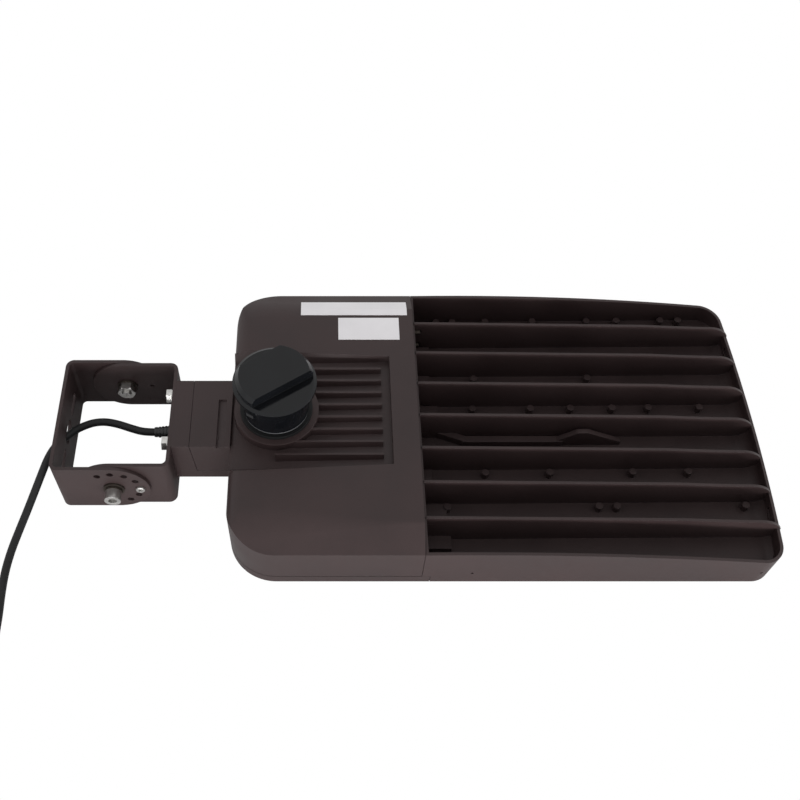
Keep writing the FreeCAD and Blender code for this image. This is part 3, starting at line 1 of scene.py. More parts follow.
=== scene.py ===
import json
import math
import bmesh
import bpy
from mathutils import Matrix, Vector

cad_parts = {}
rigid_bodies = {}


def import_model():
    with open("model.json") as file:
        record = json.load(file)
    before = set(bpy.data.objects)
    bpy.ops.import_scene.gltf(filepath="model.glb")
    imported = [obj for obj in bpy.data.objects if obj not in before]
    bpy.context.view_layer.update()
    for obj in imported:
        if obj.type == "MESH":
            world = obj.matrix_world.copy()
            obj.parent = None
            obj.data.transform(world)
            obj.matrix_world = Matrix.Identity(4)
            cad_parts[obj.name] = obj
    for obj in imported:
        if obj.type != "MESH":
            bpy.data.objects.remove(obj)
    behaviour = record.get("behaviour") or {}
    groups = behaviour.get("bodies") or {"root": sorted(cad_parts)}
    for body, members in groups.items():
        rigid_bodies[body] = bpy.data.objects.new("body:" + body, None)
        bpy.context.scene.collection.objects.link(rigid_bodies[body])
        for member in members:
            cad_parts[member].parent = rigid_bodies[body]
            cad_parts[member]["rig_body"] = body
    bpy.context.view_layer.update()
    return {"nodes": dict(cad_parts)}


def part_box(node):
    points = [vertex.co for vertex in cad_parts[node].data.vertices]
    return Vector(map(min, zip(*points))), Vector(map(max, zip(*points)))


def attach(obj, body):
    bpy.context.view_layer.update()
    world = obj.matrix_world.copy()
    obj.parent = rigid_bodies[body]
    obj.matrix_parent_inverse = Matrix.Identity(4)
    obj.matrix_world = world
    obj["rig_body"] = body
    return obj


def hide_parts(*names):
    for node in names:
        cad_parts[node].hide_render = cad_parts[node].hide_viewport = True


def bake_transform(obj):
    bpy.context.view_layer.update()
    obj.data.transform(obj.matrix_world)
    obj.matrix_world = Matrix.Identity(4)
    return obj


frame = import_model()

# ---------------------------------------------------------------- the studio
# The camera looks down on the light from the front, as in the photograph. An even white sky and
# two low strip lamps, in front and to the right, light it. It lies on a white board that throws
# light back but is hidden from the camera; its own light counts only once the board is shown.
FIELD_OF_VIEW, LOOKING_DOWN = 43.40, 33.913
SKY_LIGHT, SKY_SEEN = 0.78, 1.0
LAMP_HEIGHT, LAMP_AIM = 0.3, Vector((0, 0, 0.05))
BOARD_REACH, FLOOR_SHARE = 6, 0.73
eye = bpy.data.cameras.new("eye")
eye.sensor_width = 36.0
eye.lens = 18.0 / math.tan(math.radians(FIELD_OF_VIEW) / 2)
eye.shift_x = 0.0945
eye.clip_start, eye.clip_end = 0.01, 50.0
camera = bpy.data.objects.new("eye", eye)
camera.location = (-0.0844, -0.5443, 0.9038)
camera.rotation_euler = (math.radians(LOOKING_DOWN), 0, 0)
bpy.context.collection.objects.link(camera)
bpy.context.scene.camera = camera
bpy.context.scene.view_settings.view_transform = "Standard"

world = bpy.data.worlds.new("studio")
bpy.context.scene.world = world
world.use_nodes = True
sky = world.node_tree
paths = sky.nodes.new("ShaderNodeLightPath")
either = sky.nodes.new("ShaderNodeMath")
either.operation = "MAXIMUM"
sky.links.new(paths.outputs["Is Camera Ray"], either.inputs[0])
sky.links.new(paths.outputs["Is Transmission Ray"], either.inputs[1])
shown = sky.nodes.new("ShaderNodeMath")
shown.operation = "MAXIMUM"
sky.links.new(either.outputs[0], shown.inputs[0])
sky.links.new(paths.outputs["Is Glossy Ray"], shown.inputs[1])
level = sky.nodes.new("ShaderNodeMapRange")
level.inputs["To Min"].default_value = SKY_LIGHT
level.inputs["To Max"].default_value = SKY_SEEN
sky.links.new(shown.outputs[0], level.inputs["Value"])
back = sky.nodes["Background"]
back.inputs["Color"].default_value = (1, 1, 1, 1)
sky.links.new(level.outputs[0], back.inputs["Strength"])

for name, at, wide, power in (("front_strip", (0.1, -2.0, 0.18), 2.4, 34.0),
                              ("right_strip", (2.3, -0.5, 0.18), 1.0, 9.0)):
    lamp = bpy.data.lights.new(name, "AREA")
    lamp.shape = "RECTANGLE"
    lamp.size, lamp.size_y = wide, LAMP_HEIGHT
    lamp.energy = power
    holder = bpy.data.objects.new(name, lamp)
    holder.location = at
    holder.rotation_euler = (LAMP_AIM - Vector(at)).to_track_quat("-Z", "Y").to_euler()
    bpy.context.collection.objects.link(holder)

board = bpy.data.meshes.new("floor")
board.from_pydata([(x * BOARD_REACH, y * BOARD_REACH, 0)
                   for x, y in ((-1, -1), (1, -1), (1, 1), (-1, 1))], [], [(0, 1, 2, 3)])
floor = bpy.data.objects.new("floor", board)
floor.visible_camera = False
bpy.context.collection.objects.link(floor)
white = bpy.data.materials.new("white_board")
white.use_nodes = True
paint = white.node_tree
matt = paint.nodes["Principled BSDF"]
matt.inputs["Base Color"].default_value = (0.90, 0.90, 0.90, 1)
matt.inputs["Roughness"].default_value = 0.9
matt.inputs["Specular IOR Level"].default_value = 0.1
lift = paint.nodes.new("ShaderNodeEmission")
lift.inputs["Color"].default_value = (1, 1, 1, 1)
seen = paint.nodes.new("ShaderNodeLightPath")
share = paint.nodes.new("ShaderNodeMath")
share.operation = "MULTIPLY"
share.inputs[1].default_value = FLOOR_SHARE
paint.links.new(seen.outputs["Is Camera Ray"], share.inputs[0])
paint.links.new(share.outputs[0], lift.inputs["Strength"])
both = paint.nodes.new("ShaderNodeAddShader")
paint.links.new(matt.outputs[0], both.inputs[0])
paint.links.new(lift.outputs[0], both.inputs[1])
paint.links.new(both.outputs[0], paint.nodes["Material Output"].inputs["Surface"])
board.materials.append(white)


# ---------------------------------------------------------------- the supply cord
# Black rubber-jacketed three-core cord, 8 mm thick. It leaves the gland, passes through the slot
# in the yoke, drops to the floor and runs off to the left; the spare length lies wound and tied.
CORD = 0.008
CORD_SIDES = 6


def rubber_jacket(name, colour, rough):
    """Moulded rubber: fine matt grain and faint mottling."""
    made = bpy.data.materials.new(name)
    made.use_nodes = True
    tree = made.node_tree
    skin = tree.nodes["Principled BSDF"]
    place = tree.nodes.new("ShaderNodeTexCoord")
    grain = tree.nodes.new("ShaderNodeTexNoise")
    grain.inputs["Scale"].default_value = 1100.0
    grain.inputs["Detail"].default_value = 3.0
    cloud = tree.nodes.new("ShaderNodeTexNoise")
    cloud.inputs["Scale"].default_value = 45.0
    cloud.inputs["Detail"].default_value = 4.0
    tree.links.new(place.outputs["Object"], grain.inputs["Vector"])
    tree.links.new(place.outputs["Object"], cloud.inputs["Vector"])
    tone = tree.nodes.new("ShaderNodeValToRGB")
    tone.color_ramp.elements[0].position = 0.3
    tone.color_ramp.elements[1].position = 0.75
    tone.color_ramp.elements[0].color = (*[0.75 * c for c in colour], 1)
    tone.color_ramp.elements[1].color = (*[1.35 * c for c in colour], 1)
    tree.links.new(cloud.outputs["Fac"], tone.inputs["Fac"])
    tree.links.new(tone.outputs["Color"], skin.inputs["Base Color"])
    bump = tree.nodes.new("ShaderNodeBump")
    bump.inputs["Strength"].default_value = 0.25
    bump.inputs["Distance"].default_value = 0.0003
    tree.links.new(grain.outputs["Fac"], bump.inputs["Height"])
    tree.links.new(bump.outputs["Normal"], skin.inputs["Normal"])
    skin.inputs["Roughness"].default_value = rough
    skin.inputs["Specular IOR Level"].default_value = 0.25
    return made


jacket = rubber_jacket("cord_jacket_rubber", (0.0095, 0.0095, 0.0100), 0.50)


def laid_cord(name, points):
    """A smooth line through the cord's route, as thick as the cord."""
    line = bpy.data.curves.new(name, "CURVE")
    line.dimensions = "3D"
    spline = line.splines.new("NURBS")
    spline.points.add(len(points) - 1)
    for spot, p in zip(spline.points, points):
        spot.co = (*p, 1)
    spline.order_u = 3
    spline.use_endpoint_u = True
    line.resolution_u = 12
    line.bevel_depth = CORD / 2
    line.bevel_resolution = CORD_SIDES
    line.use_fill_caps = True
    made = bpy.data.objects.new(name, line)
    bpy.context.collection.objects.link(made)
    line.materials.append(jacket)
    return made


WELD = 2e-6                    # corners closer than this are one corner
ONE_PLANE = 0.999995           # cosine between faces that lie in one plane
WIDE_PATCH = 0.0065            # between two patches wider than this an edge is always sharp
SOFT_TURN = math.radians(24.0)  # a sharper turn than this is an edge


def finished(node, material):
    """The made part in its finish: flat faces stay flat, turned and bent ones run smooth."""
    source = frame["nodes"][node]
    shape = bmesh.new()
    shape.from_mesh(source.data)
    bmesh.ops.remove_doubles(shape, verts=shape.verts, dist=WELD)
    bmesh.ops.dissolve_degenerate(shape, edges=shape.edges, dist=WELD)
    shape.faces.ensure_lookup_table()
    shape.faces.index_update()
    # faces in one plane, and how wide each such patch is
    patch, wide, large = [-1] * len(shape.faces), [], []
    for first in shape.faces:
        if patch[first.index] >= 0:
            continue
        number, waiting, area, corners = len(wide), [first], 0.0, []
        patch[first.index] = number
        while waiting:
            face = waiting.pop()
            area += face.calc_area()
            corners += [v.co for v in face.verts]
            for edge in face.edges:
                for other in edge.link_faces:
                    if patch[other.index] < 0 and first.normal.dot(other.normal) > ONE_PLANE:
                        patch[other.index] = number
                        waiting.append(other)
        reach = Vector([max(c[i] for c in corners) - min(c[i] for c in corners) for i in range(3)])
        wide.append(area / max(reach.length, 1e-6))
        large.append(max(area, 1e-12))
    for edge in shape.edges:
        sides = edge.link_faces
        if len(sides) != 2:
            edge.smooth = False
            continue
        one, two = patch[sides[0].index], patch[sides[1].index]
        gentle = sides[0].normal.dot(sides[1].normal) > math.cos(SOFT_TURN)
        edge.smooth = gentle and (one == two or min(wide[one], wide[two]) < WIDE_PATCH)
    shown = {}
    for corner in shape.verts:
        groups = []
        for face in corner.link_faces:
            near = {e for e in face.edges if e in corner.link_edges and e.smooth}
            joined = [g for g in groups if g[1] & near]
            whole = ([face], near)
            for g in joined:
                whole = (whole[0] + g[0], whole[1] | g[1])
                groups.remove(g)
            groups.append(whole)
        for faces, _ in groups:
            lean, counted = Vector(), set()
            for face in faces:
                if patch[face.index] not in counted:
                    counted.add(patch[face.index])
                    lean += face.normal * large[patch[face.index]]
            lean.normalize()
            for face in faces:
                shown[(face.index, corner)] = lean
    normals = [shown[(face.index, loop.vert)] for face in shape.faces for loop in face.loops]
    mesh = bpy.data.meshes.new(node + "_finished")
    shape.to_mesh(mesh)
    shape.free()
    mesh.polygons.foreach_set("use_smooth", [True] * len(mesh.polygons))
    mesh.normals_split_custom_set(normals)
    mesh.materials.clear()
    mesh.materials.append(material)
    made = bpy.data.objects.new(node + "_finished", mesh)
    bpy.context.collection.objects.link(made)
    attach(made, source["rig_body"])
    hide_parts(node)
    return made


# the stretch inside the brackets runs across the tilt joint; it is made as a mesh tube
inside_route = [(-0.2570, 0, 0.0355), (-0.2680, 0, 0.0355), (-0.2810, 0.0038, 0.0361),
                (-0.2945, 0.0086, 0.0368), (-0.3080, 0.0116, 0.0370), (-0.3200, 0.0109, 0.0366),
                (-0.3302, 0.0072, 0.0359), (-0.3390, 0.0021, 0.0355), (-0.3467, -0.0056, 0.0352)]
thick = laid_cord("cord_between_brackets", inside_route)
thick.data.bevel_depth = 0
bare_line = bpy.data.meshes.new_from_object(thick)
thick.data.bevel_depth = CORD / 2
dg = bpy.context.evaluated_depsgraph_get()
tube = bpy.data.meshes.new_from_object(thick.evaluated_get(dg))
bpy.data.objects.remove(thick)
between = bpy.data.objects.new("cord_between_brackets", tube)
bpy.context.collection.objects.link(between)
tube.shade_smooth()
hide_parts("cord_bridge")
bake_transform(between)


def moulded(name, colour, rough, spread=0.15):
    """Moulded plastic: slight mottling, fine texture and softened edges."""
    made = bpy.data.materials.new(name)
    made.use_nodes = True
    tree = made.node_tree
    skin = tree.nodes["Principled BSDF"]
    place = tree.nodes.new("ShaderNodeTexCoord")
    cloud = tree.nodes.new("ShaderNodeTexNoise")
    cloud.inputs["Scale"].default_value = 30.0
    cloud.inputs["Detail"].default_value = 5.0
    fine = tree.nodes.new("ShaderNodeTexNoise")
    fine.inputs["Scale"].default_value = 900.0
    for texture in (cloud, fine):
        tree.links.new(place.outputs["Object"], texture.inputs["Vector"])
    tone = tree.nodes.new("ShaderNodeValToRGB")
    tone.color_ramp.elements[0].position = 0.35
    tone.color_ramp.elements[1].position = 0.7
    tone.color_ramp.elements[0].color = (*[(1 - spread) * c for c in colour], 1)
    tone.color_ramp.elements[1].color = (*[min(1.0, (1 + spread) * c) for c in colour], 1)
    tree.links.new(cloud.outputs["Fac"], tone.inputs["Fac"])
    tree.links.new(tone.outputs["Color"], skin.inputs["Base Color"])
    gloss = tree.nodes.new("ShaderNodeMapRange")
    gloss.inputs["From Min"].default_value = 0.3
    gloss.inputs["From Max"].default_value = 0.7
    gloss.inputs["To Min"].default_value = max(0.04, rough - 0.04)
    gloss.inputs["To Max"].default_value = rough + 0.05
    tree.links.new(cloud.outputs["Fac"], gloss.inputs["Value"])
    tree.links.new(gloss.outputs["Result"], skin.inputs["Roughness"])
    soft = tree.nodes.new("ShaderNodeBevel")
    soft.samples = 6
    soft.inputs["Radius"].default_value = 0.0004
    bump = tree.nodes.new("ShaderNodeBump")
    bump.inputs["Strength"].default_value = 0.15
    bump.inputs["Distance"].default_value = 0.00012
    tree.links.new(soft.outputs["Normal"], bump.inputs["Normal"])
    tree.links.new(fine.outputs["Fac"], bump.inputs["Height"])
    tree.links.new(bump.outputs["Normal"], skin.inputs["Normal"])
    return made


outside_route = [(-0.3467, -0.0056, 0.0352), (-0.3552, -0.0141, 0.0349), (-0.3624, -0.0274, 0.0319),
                 (-0.3678, -0.0430, 0.0262), (-0.3738, -0.0590, 0.0188), (-0.3800, -0.0765, 0.0118),
                 (-0.3860, -0.0960, 0.0070), (-0.3910, -0.1170, 0.0046), (-0.3934, -0.1395, 0.0042),
                 (-0.3930, -0.1630, 0.0042), (-0.3914, -0.1860, 0.0044), (-0.3911, -0.2060, 0.0048)]
TURNS, OUTER, PITCH, LOW = 3.5, 0.0505, 0.0086, 0.0053
coil_at = (-0.4415, -0.2520)


def coil_spot(t):
    """The cord's centre after t turns: a spiral in, a step up, and a spiral out again."""
    radius = OUTER - PITCH * TURNS / 2 + PITCH * abs(t - TURNS / 2)
    climb = min(1.0, max(0.0, (t - TURNS / 2 + 0.25) / 0.5))
    z = LOW + PITCH * (0.5 - 0.5 * math.cos(math.pi * climb))
    turn = -2 * math.pi * t
    return Vector((coil_at[0] + radius * math.cos(turn), coil_at[1] + radius * math.sin(turn), z))


entry = (coil_spot(0.001) - coil_spot(0)).normalized()
leaving = (coil_spot(TURNS) - coil_spot(TURNS - 0.001)).normalized()
start = coil_spot(0) - entry * CORD
per_turn = 24
turns = [coil_spot(i / per_turn) for i in range(int(TURNS * per_turn) + 1)]
route = [Vector(p) for p in outside_route] + [start - entry * 0.018, start] + turns
route.append(coil_spot(TURNS) + leaving * CORD)
supply = laid_cord("supply_cord_laid", route)
supply.data.bevel_depth = 0
supply_line = bpy.data.meshes.new_from_object(supply)
supply.data.bevel_depth = CORD / 2


def steel(name, colour, rough):
    """Bare metal with fine tool marks and slight staining."""
    made = bpy.data.materials.new(name)
    made.use_nodes = True
    tree = made.node_tree
    skin = tree.nodes["Principled BSDF"]
    skin.inputs["Metallic"].default_value = 1.0
    place = tree.nodes.new("ShaderNodeTexCoord")
    marks = tree.nodes.new("ShaderNodeTexNoise")
    marks.inputs["Scale"].default_value = 900.0
    marks.inputs["Detail"].default_value = 3.0
    stain = tree.nodes.new("ShaderNodeTexNoise")
    stain.inputs["Scale"].default_value = 160.0
    stain.inputs["Detail"].default_value = 5.0
    tree.links.new(place.outputs["Object"], marks.inputs["Vector"])
    tree.links.new(place.outputs["Object"], stain.inputs["Vector"])
    tone = tree.nodes.new("ShaderNodeValToRGB")
    tone.color_ramp.elements[0].position = 0.3
    tone.color_ramp.elements[1].position = 0.7
    tone.color_ramp.elements[0].color = (*[0.72 * c for c in colour], 1)
    tone.color_ramp.elements[1].color = (*colour, 1)
    tree.links.new(stain.outputs["Fac"], tone.inputs["Fac"])
    tree.links.new(tone.outputs["Color"], skin.inputs["Base Color"])
    gloss = tree.nodes.new("ShaderNodeMapRange")
    gloss.inputs["To Min"].default_value = rough - 0.08
    gloss.inputs["To Max"].default_value = rough + 0.10
    tree.links.new(stain.outputs["Fac"], gloss.inputs["Value"])
    tree.links.new(gloss.outputs["Result"], skin.inputs["Roughness"])
    soft = tree.nodes.new("ShaderNodeBevel")
    soft.samples = 6
    soft.inputs["Radius"].default_value = 0.0004
    bump = tree.nodes.new("ShaderNodeBump")
    bump.inputs["Strength"].default_value = 0.12
    bump.inputs["Distance"].default_value = 0.0001
    tree.links.new(soft.outputs["Normal"], bump.inputs["Normal"])
    tree.links.new(marks.outputs["Fac"], bump.inputs["Height"])
    tree.links.new(bump.outputs["Normal"], skin.inputs["Normal"])
    return made


copper = steel("bare_copper", (0.78, 0.40, 0.22), 0.32)
black_nylon = moulded("black_nylon", (0.010, 0.010, 0.011), 0.40)
lead_pvc = moulded("lead_pvc", (0.09, 0.09, 0.09), 0.35)
tie = finished("coil_tie", black_nylon)
cores = finished("lead_insulation", lead_pvc)
strands = finished("bare_wire_ends", copper)
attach(supply, "yoke")
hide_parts("supply_cord", "cord_coil")


# ---------------------------------------------------------------- the two brackets
# The yoke that bolts to the wall and the tilt bracket nested in it are pressed steel,
# powder coated in dark bronze. Their cut edges are broken and the coat rounds them further.
def powder_coat(name, colour, rough):
    """Baked powder: fine orange peel, uneven gloss and colour, edges rounded by the coat."""
    made = bpy.data.materials.new(name)
    made.use_nodes = True
    tree = made.node_tree
    skin = tree.nodes["Principled BSDF"]
    place = tree.nodes.new("ShaderNodeTexCoord")
    fine = tree.nodes.new("ShaderNodeTexNoise")
    fine.inputs["Scale"].default_value = 620.0
    fine.inputs["Detail"].default_value = 4.0
    fine.inputs["Roughness"].default_value = 0.6
    specks = tree.nodes.new("ShaderNodeTexNoise")
    specks.inputs["Scale"].default_value = 1900.0
    specks.inputs["Detail"].default_value = 2.0
    cloud = tree.nodes.new("ShaderNodeTexNoise")
    cloud.inputs["Scale"].default_value = 16.0
    cloud.inputs["Detail"].default_value = 5.0
    for texture in (fine, specks, cloud):
        tree.links.new(place.outputs["Object"], texture.inputs["Vector"])
    tone = tree.nodes.new("ShaderNodeValToRGB")
    tone.color_ramp.elements[0].position = 0.36
    tone.color_ramp.elements[1].position = 0.68
    tone.color_ramp.elements[0].color = (*[0.80 * c for c in colour], 1)
    tone.color_ramp.elements[1].color = (*[1.22 * c for c in colour], 1)
    joined = tree.nodes.new("ShaderNodeMix")
    joined.inputs["Factor"].default_value = 0.55
    tree.links.new(specks.outputs["Fac"], joined.inputs["A"])
    tree.links.new(cloud.outputs["Fac"], joined.inputs["B"])
    tree.links.new(joined.outputs["Result"], tone.inputs["Fac"])
    tree.links.new(tone.outputs["Color"], skin.inputs["Base Color"])
    gloss = tree.nodes.new("ShaderNodeMapRange")
    gloss.inputs["From Min"].default_value = 0.3
    gloss.inputs["From Max"].default_value = 0.7
    gloss.inputs["To Min"].default_value = rough - 0.07
    gloss.inputs["To Max"].default_value = rough + 0.09
    tree.links.new(cloud.outputs["Fac"], gloss.inputs["Value"])
    tree.links.new(gloss.outputs["Result"], skin.inputs["Roughness"])
    soft = tree.nodes.new("ShaderNodeBevel")
    soft.samples = 6
    soft.inputs["Radius"].default_value = 0.0007
    bump = tree.nodes.new("ShaderNodeBump")
    bump.inputs["Strength"].default_value = 0.42
    bump.inputs["Distance"].default_value = 0.00022
    tree.links.new(soft.outputs["Normal"], bump.inputs["Normal"])
    tree.links.new(fine.outputs["Fac"], bump.inputs["Height"])
    tree.links.new(bump.outputs["Normal"], skin.inputs["Normal"])
    skin.inputs["Specular IOR Level"].default_value = 0.28
    return made


bronze = powder_coat("bronze_powder", (0.037, 0.0235, 0.0235), 0.46)
for piece in ("yoke_bracket", "tilt_bracket"):
    finished(piece, bronze)


# ---------------------------------------------------------------- bolts, nuts and screws
# Bright stainless bolts, nuts and screws; the pivot's washers and the box's hidden screws are
# duller. The five sets of screws in the head are alike, so one node tree grows them all: a round
# head with a broken rim and a round drive hole that tapers to a point, on a plain shank.
stainless = steel("stainless_steel", (0.62, 0.61, 0.59), 0.30)
dulled_steel = steel("dulled_steel", (0.075, 0.062, 0.054), 0.62)
for piece in ("pivot_bolts", "pivot_nuts", "index_screw", "bracket_screws", "receptacle_clip"):
    finished(piece, stainless)
for piece in ("pivot_washers", "spring_washers"):
    finished(piece, dulled_steel)


def growth(name, sizes):
    """A node tree that works on a mesh, with the sizes named here as its inputs."""
    tree = bpy.data.node_groups.new(name, "GeometryNodeTree")
    tree.is_modifier = True
    tree.interface.new_socket("Geometry", in_out="INPUT", socket_type="NodeSocketGeometry")
    for label, value in sizes.items():
        kind = "NodeSocketVector" if isinstance(value, tuple) else "NodeSocketFloat"
        tree.interface.new_socket(label, in_out="INPUT", socket_type=kind).default_value = value
    tree.interface.new_socket("Geometry", in_out="OUTPUT", socket_type="NodeSocketGeometry")
    return tree, tree.nodes.new("NodeGroupInput"), tree.nodes.new("NodeGroupOutput")


def grown(name, tree, spots, sizes):
    """Grows the tree on a mesh of spots and keeps what comes out as a plain mesh."""
    seed = bpy.data.meshes.new(name + "_spots")
    seed.from_pydata(spots, [], [])
    made = bpy.data.objects.new(name, seed)
    bpy.context.collection.objects.link(made)
    grow = made.modifiers.new("grow", "NODES")
    grow.node_group = tree
    for socket in tree.interface.items_tree:
        if socket.name in sizes:
            grow[socket.identifier] = sizes[socket.name]
    bpy.context.view_layer.update()
    whole = bpy.data.meshes.new_from_object(
        made.evaluated_get(bpy.context.evaluated_depsgraph_get()))
    made.modifiers.remove(grow)
    made.data = whole
    return made


screw_tree, given, out = growth("recessed_screw", {
    "Head Radius": 0.0036, "Head Height": 0.0026, "Edge Break": 0.0006, "Drive Radius": 0.0014,
    "Drive Depth": 0.0016, "Shank Radius": 0.0020, "Shank Length": 0.012, "Turn": (0.0, 0.0, 0.0)})
link = screw_tree.links.new


def feed(value, socket):
    """Sets a socket to a number, or links it to another node's output."""
    if isinstance(value, (int, float)):
        socket.default_value = value
    else:
        link(value, socket)


def worked(kind, a, b):
    """One sum on the tree's sizes."""
    node = screw_tree.nodes.new("ShaderNodeMath")
    node.operation = kind
    feed(a, node.inputs[0])
    feed(b, node.inputs[1])
    return node.outputs[0]


def pushed(mesh, picked, offset, scale):
    """Draws the picked faces out by an offset, then makes them smaller about their middle."""
    draw = screw_tree.nodes.new("GeometryNodeExtrudeMesh")
    draw.inputs["Individual"].default_value = False
    link(mesh, draw.inputs["Mesh"])
    link(picked, draw.inputs["Selection"])
    feed(offset, draw.inputs["Offset Scale"])
    shrink = screw_tree.nodes.new("GeometryNodeScaleElements")
    link(draw.outputs["Mesh"], shrink.inputs["Geometry"])
    link(draw.outputs["Top"], shrink.inputs["Selection"])
    feed(scale, shrink.inputs["Scale"])
    return shrink.outputs["Geometry"], draw.outputs["Top"]


# the head: a short cylinder, its rim broken, then the drive hole sunk into it
head = screw_tree.nodes.new("GeometryNodeMeshCylinder")
head.inputs["Vertices"].default_value = 36
body_height = worked("SUBTRACT", given.outputs["Head Height"], given.outputs["Edge Break"])
link(given.outputs["Head Radius"], head.inputs["Radius"])
link(body_height, head.inputs["Depth"])
top_radius = worked("SUBTRACT", given.outputs["Head Radius"], given.outputs["Edge Break"])
rim_share = worked("DIVIDE", top_radius, given.outputs["Head Radius"])
bore_share = worked("DIVIDE", given.outputs["Drive Radius"], top_radius)
bore_fall = worked("MULTIPLY", given.outputs["Drive Depth"], -1.0)
shape, top = pushed(head.outputs["Mesh"], head.outputs["Top"], given.outputs["Edge Break"],
                    rim_share)
shape, top = pushed(shape, top, 0.0, bore_share)
shape, top = pushed(shape, top, bore_fall, 0.0)
raised = screw_tree.nodes.new("GeometryNodeTransform")
up = screw_tree.nodes.new("ShaderNodeCombineXYZ")
link(worked("MULTIPLY", body_height, 0.5), up.inputs["Z"])
link(shape, raised.inputs["Geometry"])
link(up.outputs[0], raised.inputs["Translation"])
# the shank: a plain rod
shank = screw_tree.nodes.new("GeometryNodeMeshCylinder")
shank.inputs["Vertices"].default_value = 24
link(given.outputs["Shank Radius"], shank.inputs["Radius"])
link(given.outputs["Shank Length"], shank.inputs["Depth"])
lowered = screw_tree.nodes.new("GeometryNodeTransform")
down = screw_tree.nodes.new("ShaderNodeCombineXYZ")
link(worked("MULTIPLY", given.outputs["Shank Length"], -0.5), down.inputs["Z"])
link(shank.outputs["Mesh"], lowered.inputs["Geometry"])
link(down.outputs[0], lowered.inputs["Translation"])
whole_screw = screw_tree.nodes.new("GeometryNodeJoinGeometry")
link(lowered.outputs[0], whole_screw.inputs[0])
link(raised.outputs[0], whole_screw.inputs[0])
placed = screw_tree.nodes.new("GeometryNodeInstanceOnPoints")
facing = screw_tree.nodes.new("FunctionNodeEulerToRotation")
link(given.outputs["Turn"], facing.inputs[0])
link(given.outputs["Geometry"], placed.inputs["Points"])
link(whole_screw.outputs[0], placed.inputs["Instance"])
link(facing.outputs[0], placed.inputs["Rotation"])
real = screw_tree.nodes.new("GeometryNodeRealizeInstances")
coat = screw_tree.nodes.new("GeometryNodeSetMaterial")
coat.inputs["Material"].default_value = stainless
link(placed.outputs[0], real.inputs[0])
link(real.outputs[0], coat.inputs["Geometry"])
link(coat.outputs[0], out.inputs[0])

DOWN, BACK = (math.pi, 0.0, 0.0), (0.0, -math.pi / 2, 0.0)
BOX_END, SPLIT, SIDE = -0.176, 0.0075, 0.1525
frame_low, frame_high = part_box("lens_frame")
columns = (frame_low[0] + 0.009, (frame_low[0] + frame_high[0]) / 2, frame_high[0] - 0.009)
edge = frame_high[1] - 0.009
screw_sets = (
    ("door_screws", [(x, y, 0.0137) for x in (BOX_END + 0.038, SPLIT - 0.012)
                     for y in (-SIDE + 0.008, SIDE - 0.008)], DOWN,
     {"Head Radius": 0.0044, "Head Height": 0.0030, "Drive Radius": 0.0018, "Drive Depth": 0.0015,
      "Shank Radius": 0.00245, "Shank Length": 0.0165}),
    ("lens_frame_screws", [(x, y, 0.0080) for x in columns for y in (-edge, 0, edge)], DOWN,
     {"Head Radius": 0.0036, "Head Height": 0.0026, "Shank Radius": 0.00195,
      "Shank Length": 0.0150}),
    ("neck_screws", [(BOX_END - 0.0175, y, 0.0157) for y in (-0.027, 0.027)], DOWN,
     {"Head Radius": 0.0043, "Head Height": 0.0030, "Drive Radius": 0.0016, "Drive Depth": 0.0018,
      "Shank Radius": 0.00245, "Shank Length": 0.0185}),
    ("end_wall_screws", [(SPLIT - 0.0035, y, z) for y in (-SIDE + 0.040, SIDE - 0.040)
                         for z in (0.034, 0.056)], BACK,
     {"Head Radius": 0.0050, "Head Height": 0.0040, "Drive Radius": 0.0022, "Drive Depth": 0.0025,
      "Shank Radius": 0.00295, "Shank Length": 0.0130}),
    ("led_driver_screws", [(x, y, 0.0170) for x in (SPLIT - 0.0655, SPLIT - 0.0315)
                           for y in (-0.101, 0.101)], (0.0, 0.0, 0.0),
     {"Head Radius": 0.0038, "Head Height": 0.0024, "Drive Radius": 0.0015, "Drive Depth": 0.0016,
      "Shank Radius": 0.00195, "Shank Length": 0.0028}))
for node, spots, turn, sizes in screw_sets:
    screws = grown(node + "_turned", screw_tree, spots, {**sizes, "Turn": turn})
    screws.data.shade_smooth()
    screws.data.set_sharp_from_angle(angle=math.radians(30))
    if node == "end_wall_screws":
        screws.data.materials.clear()
        screws.data.materials.append(dulled_steel)
    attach(screws, "head")
    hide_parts(node)


# ---------------------------------------------------------------- castings of the head
# Die-cast aluminium, powder coated like the brackets: the adapter, the driver box with its drain
# pocket and ribs, its door, the finned heat sink and the frame round the lenses.
for piece in ("arm_adapter", "driver_housing", "driver_door", "heat_sink", "lens_frame"):
    finished(piece, bronze)


# ---------------------------------------------------------------- seals
# Moulded silicone gaskets and lens seals, dark grey and matt.
silicone = rubber_jacket("silicone_grey", (0.08, 0.08, 0.085), 0.6)
for piece in ("door_gasket", "end_gasket", "lens_seal_box_end", "lens_seal_tip_end", "cap_gasket"):
    finished(piece, silicone)


# ---------------------------------------------------------------- nylon pieces
# The cord gland and the vent are black nylon, screwed into their holes; the terminal block inside
# the box is white nylon.
white_nylon = moulded("white_nylon", (0.70, 0.69, 0.66), 0.4, spread=0.05)
for piece in ("cord_gland", "breather_vent"):
    finished(piece, black_nylon)
finished("terminal_block", white_nylon)

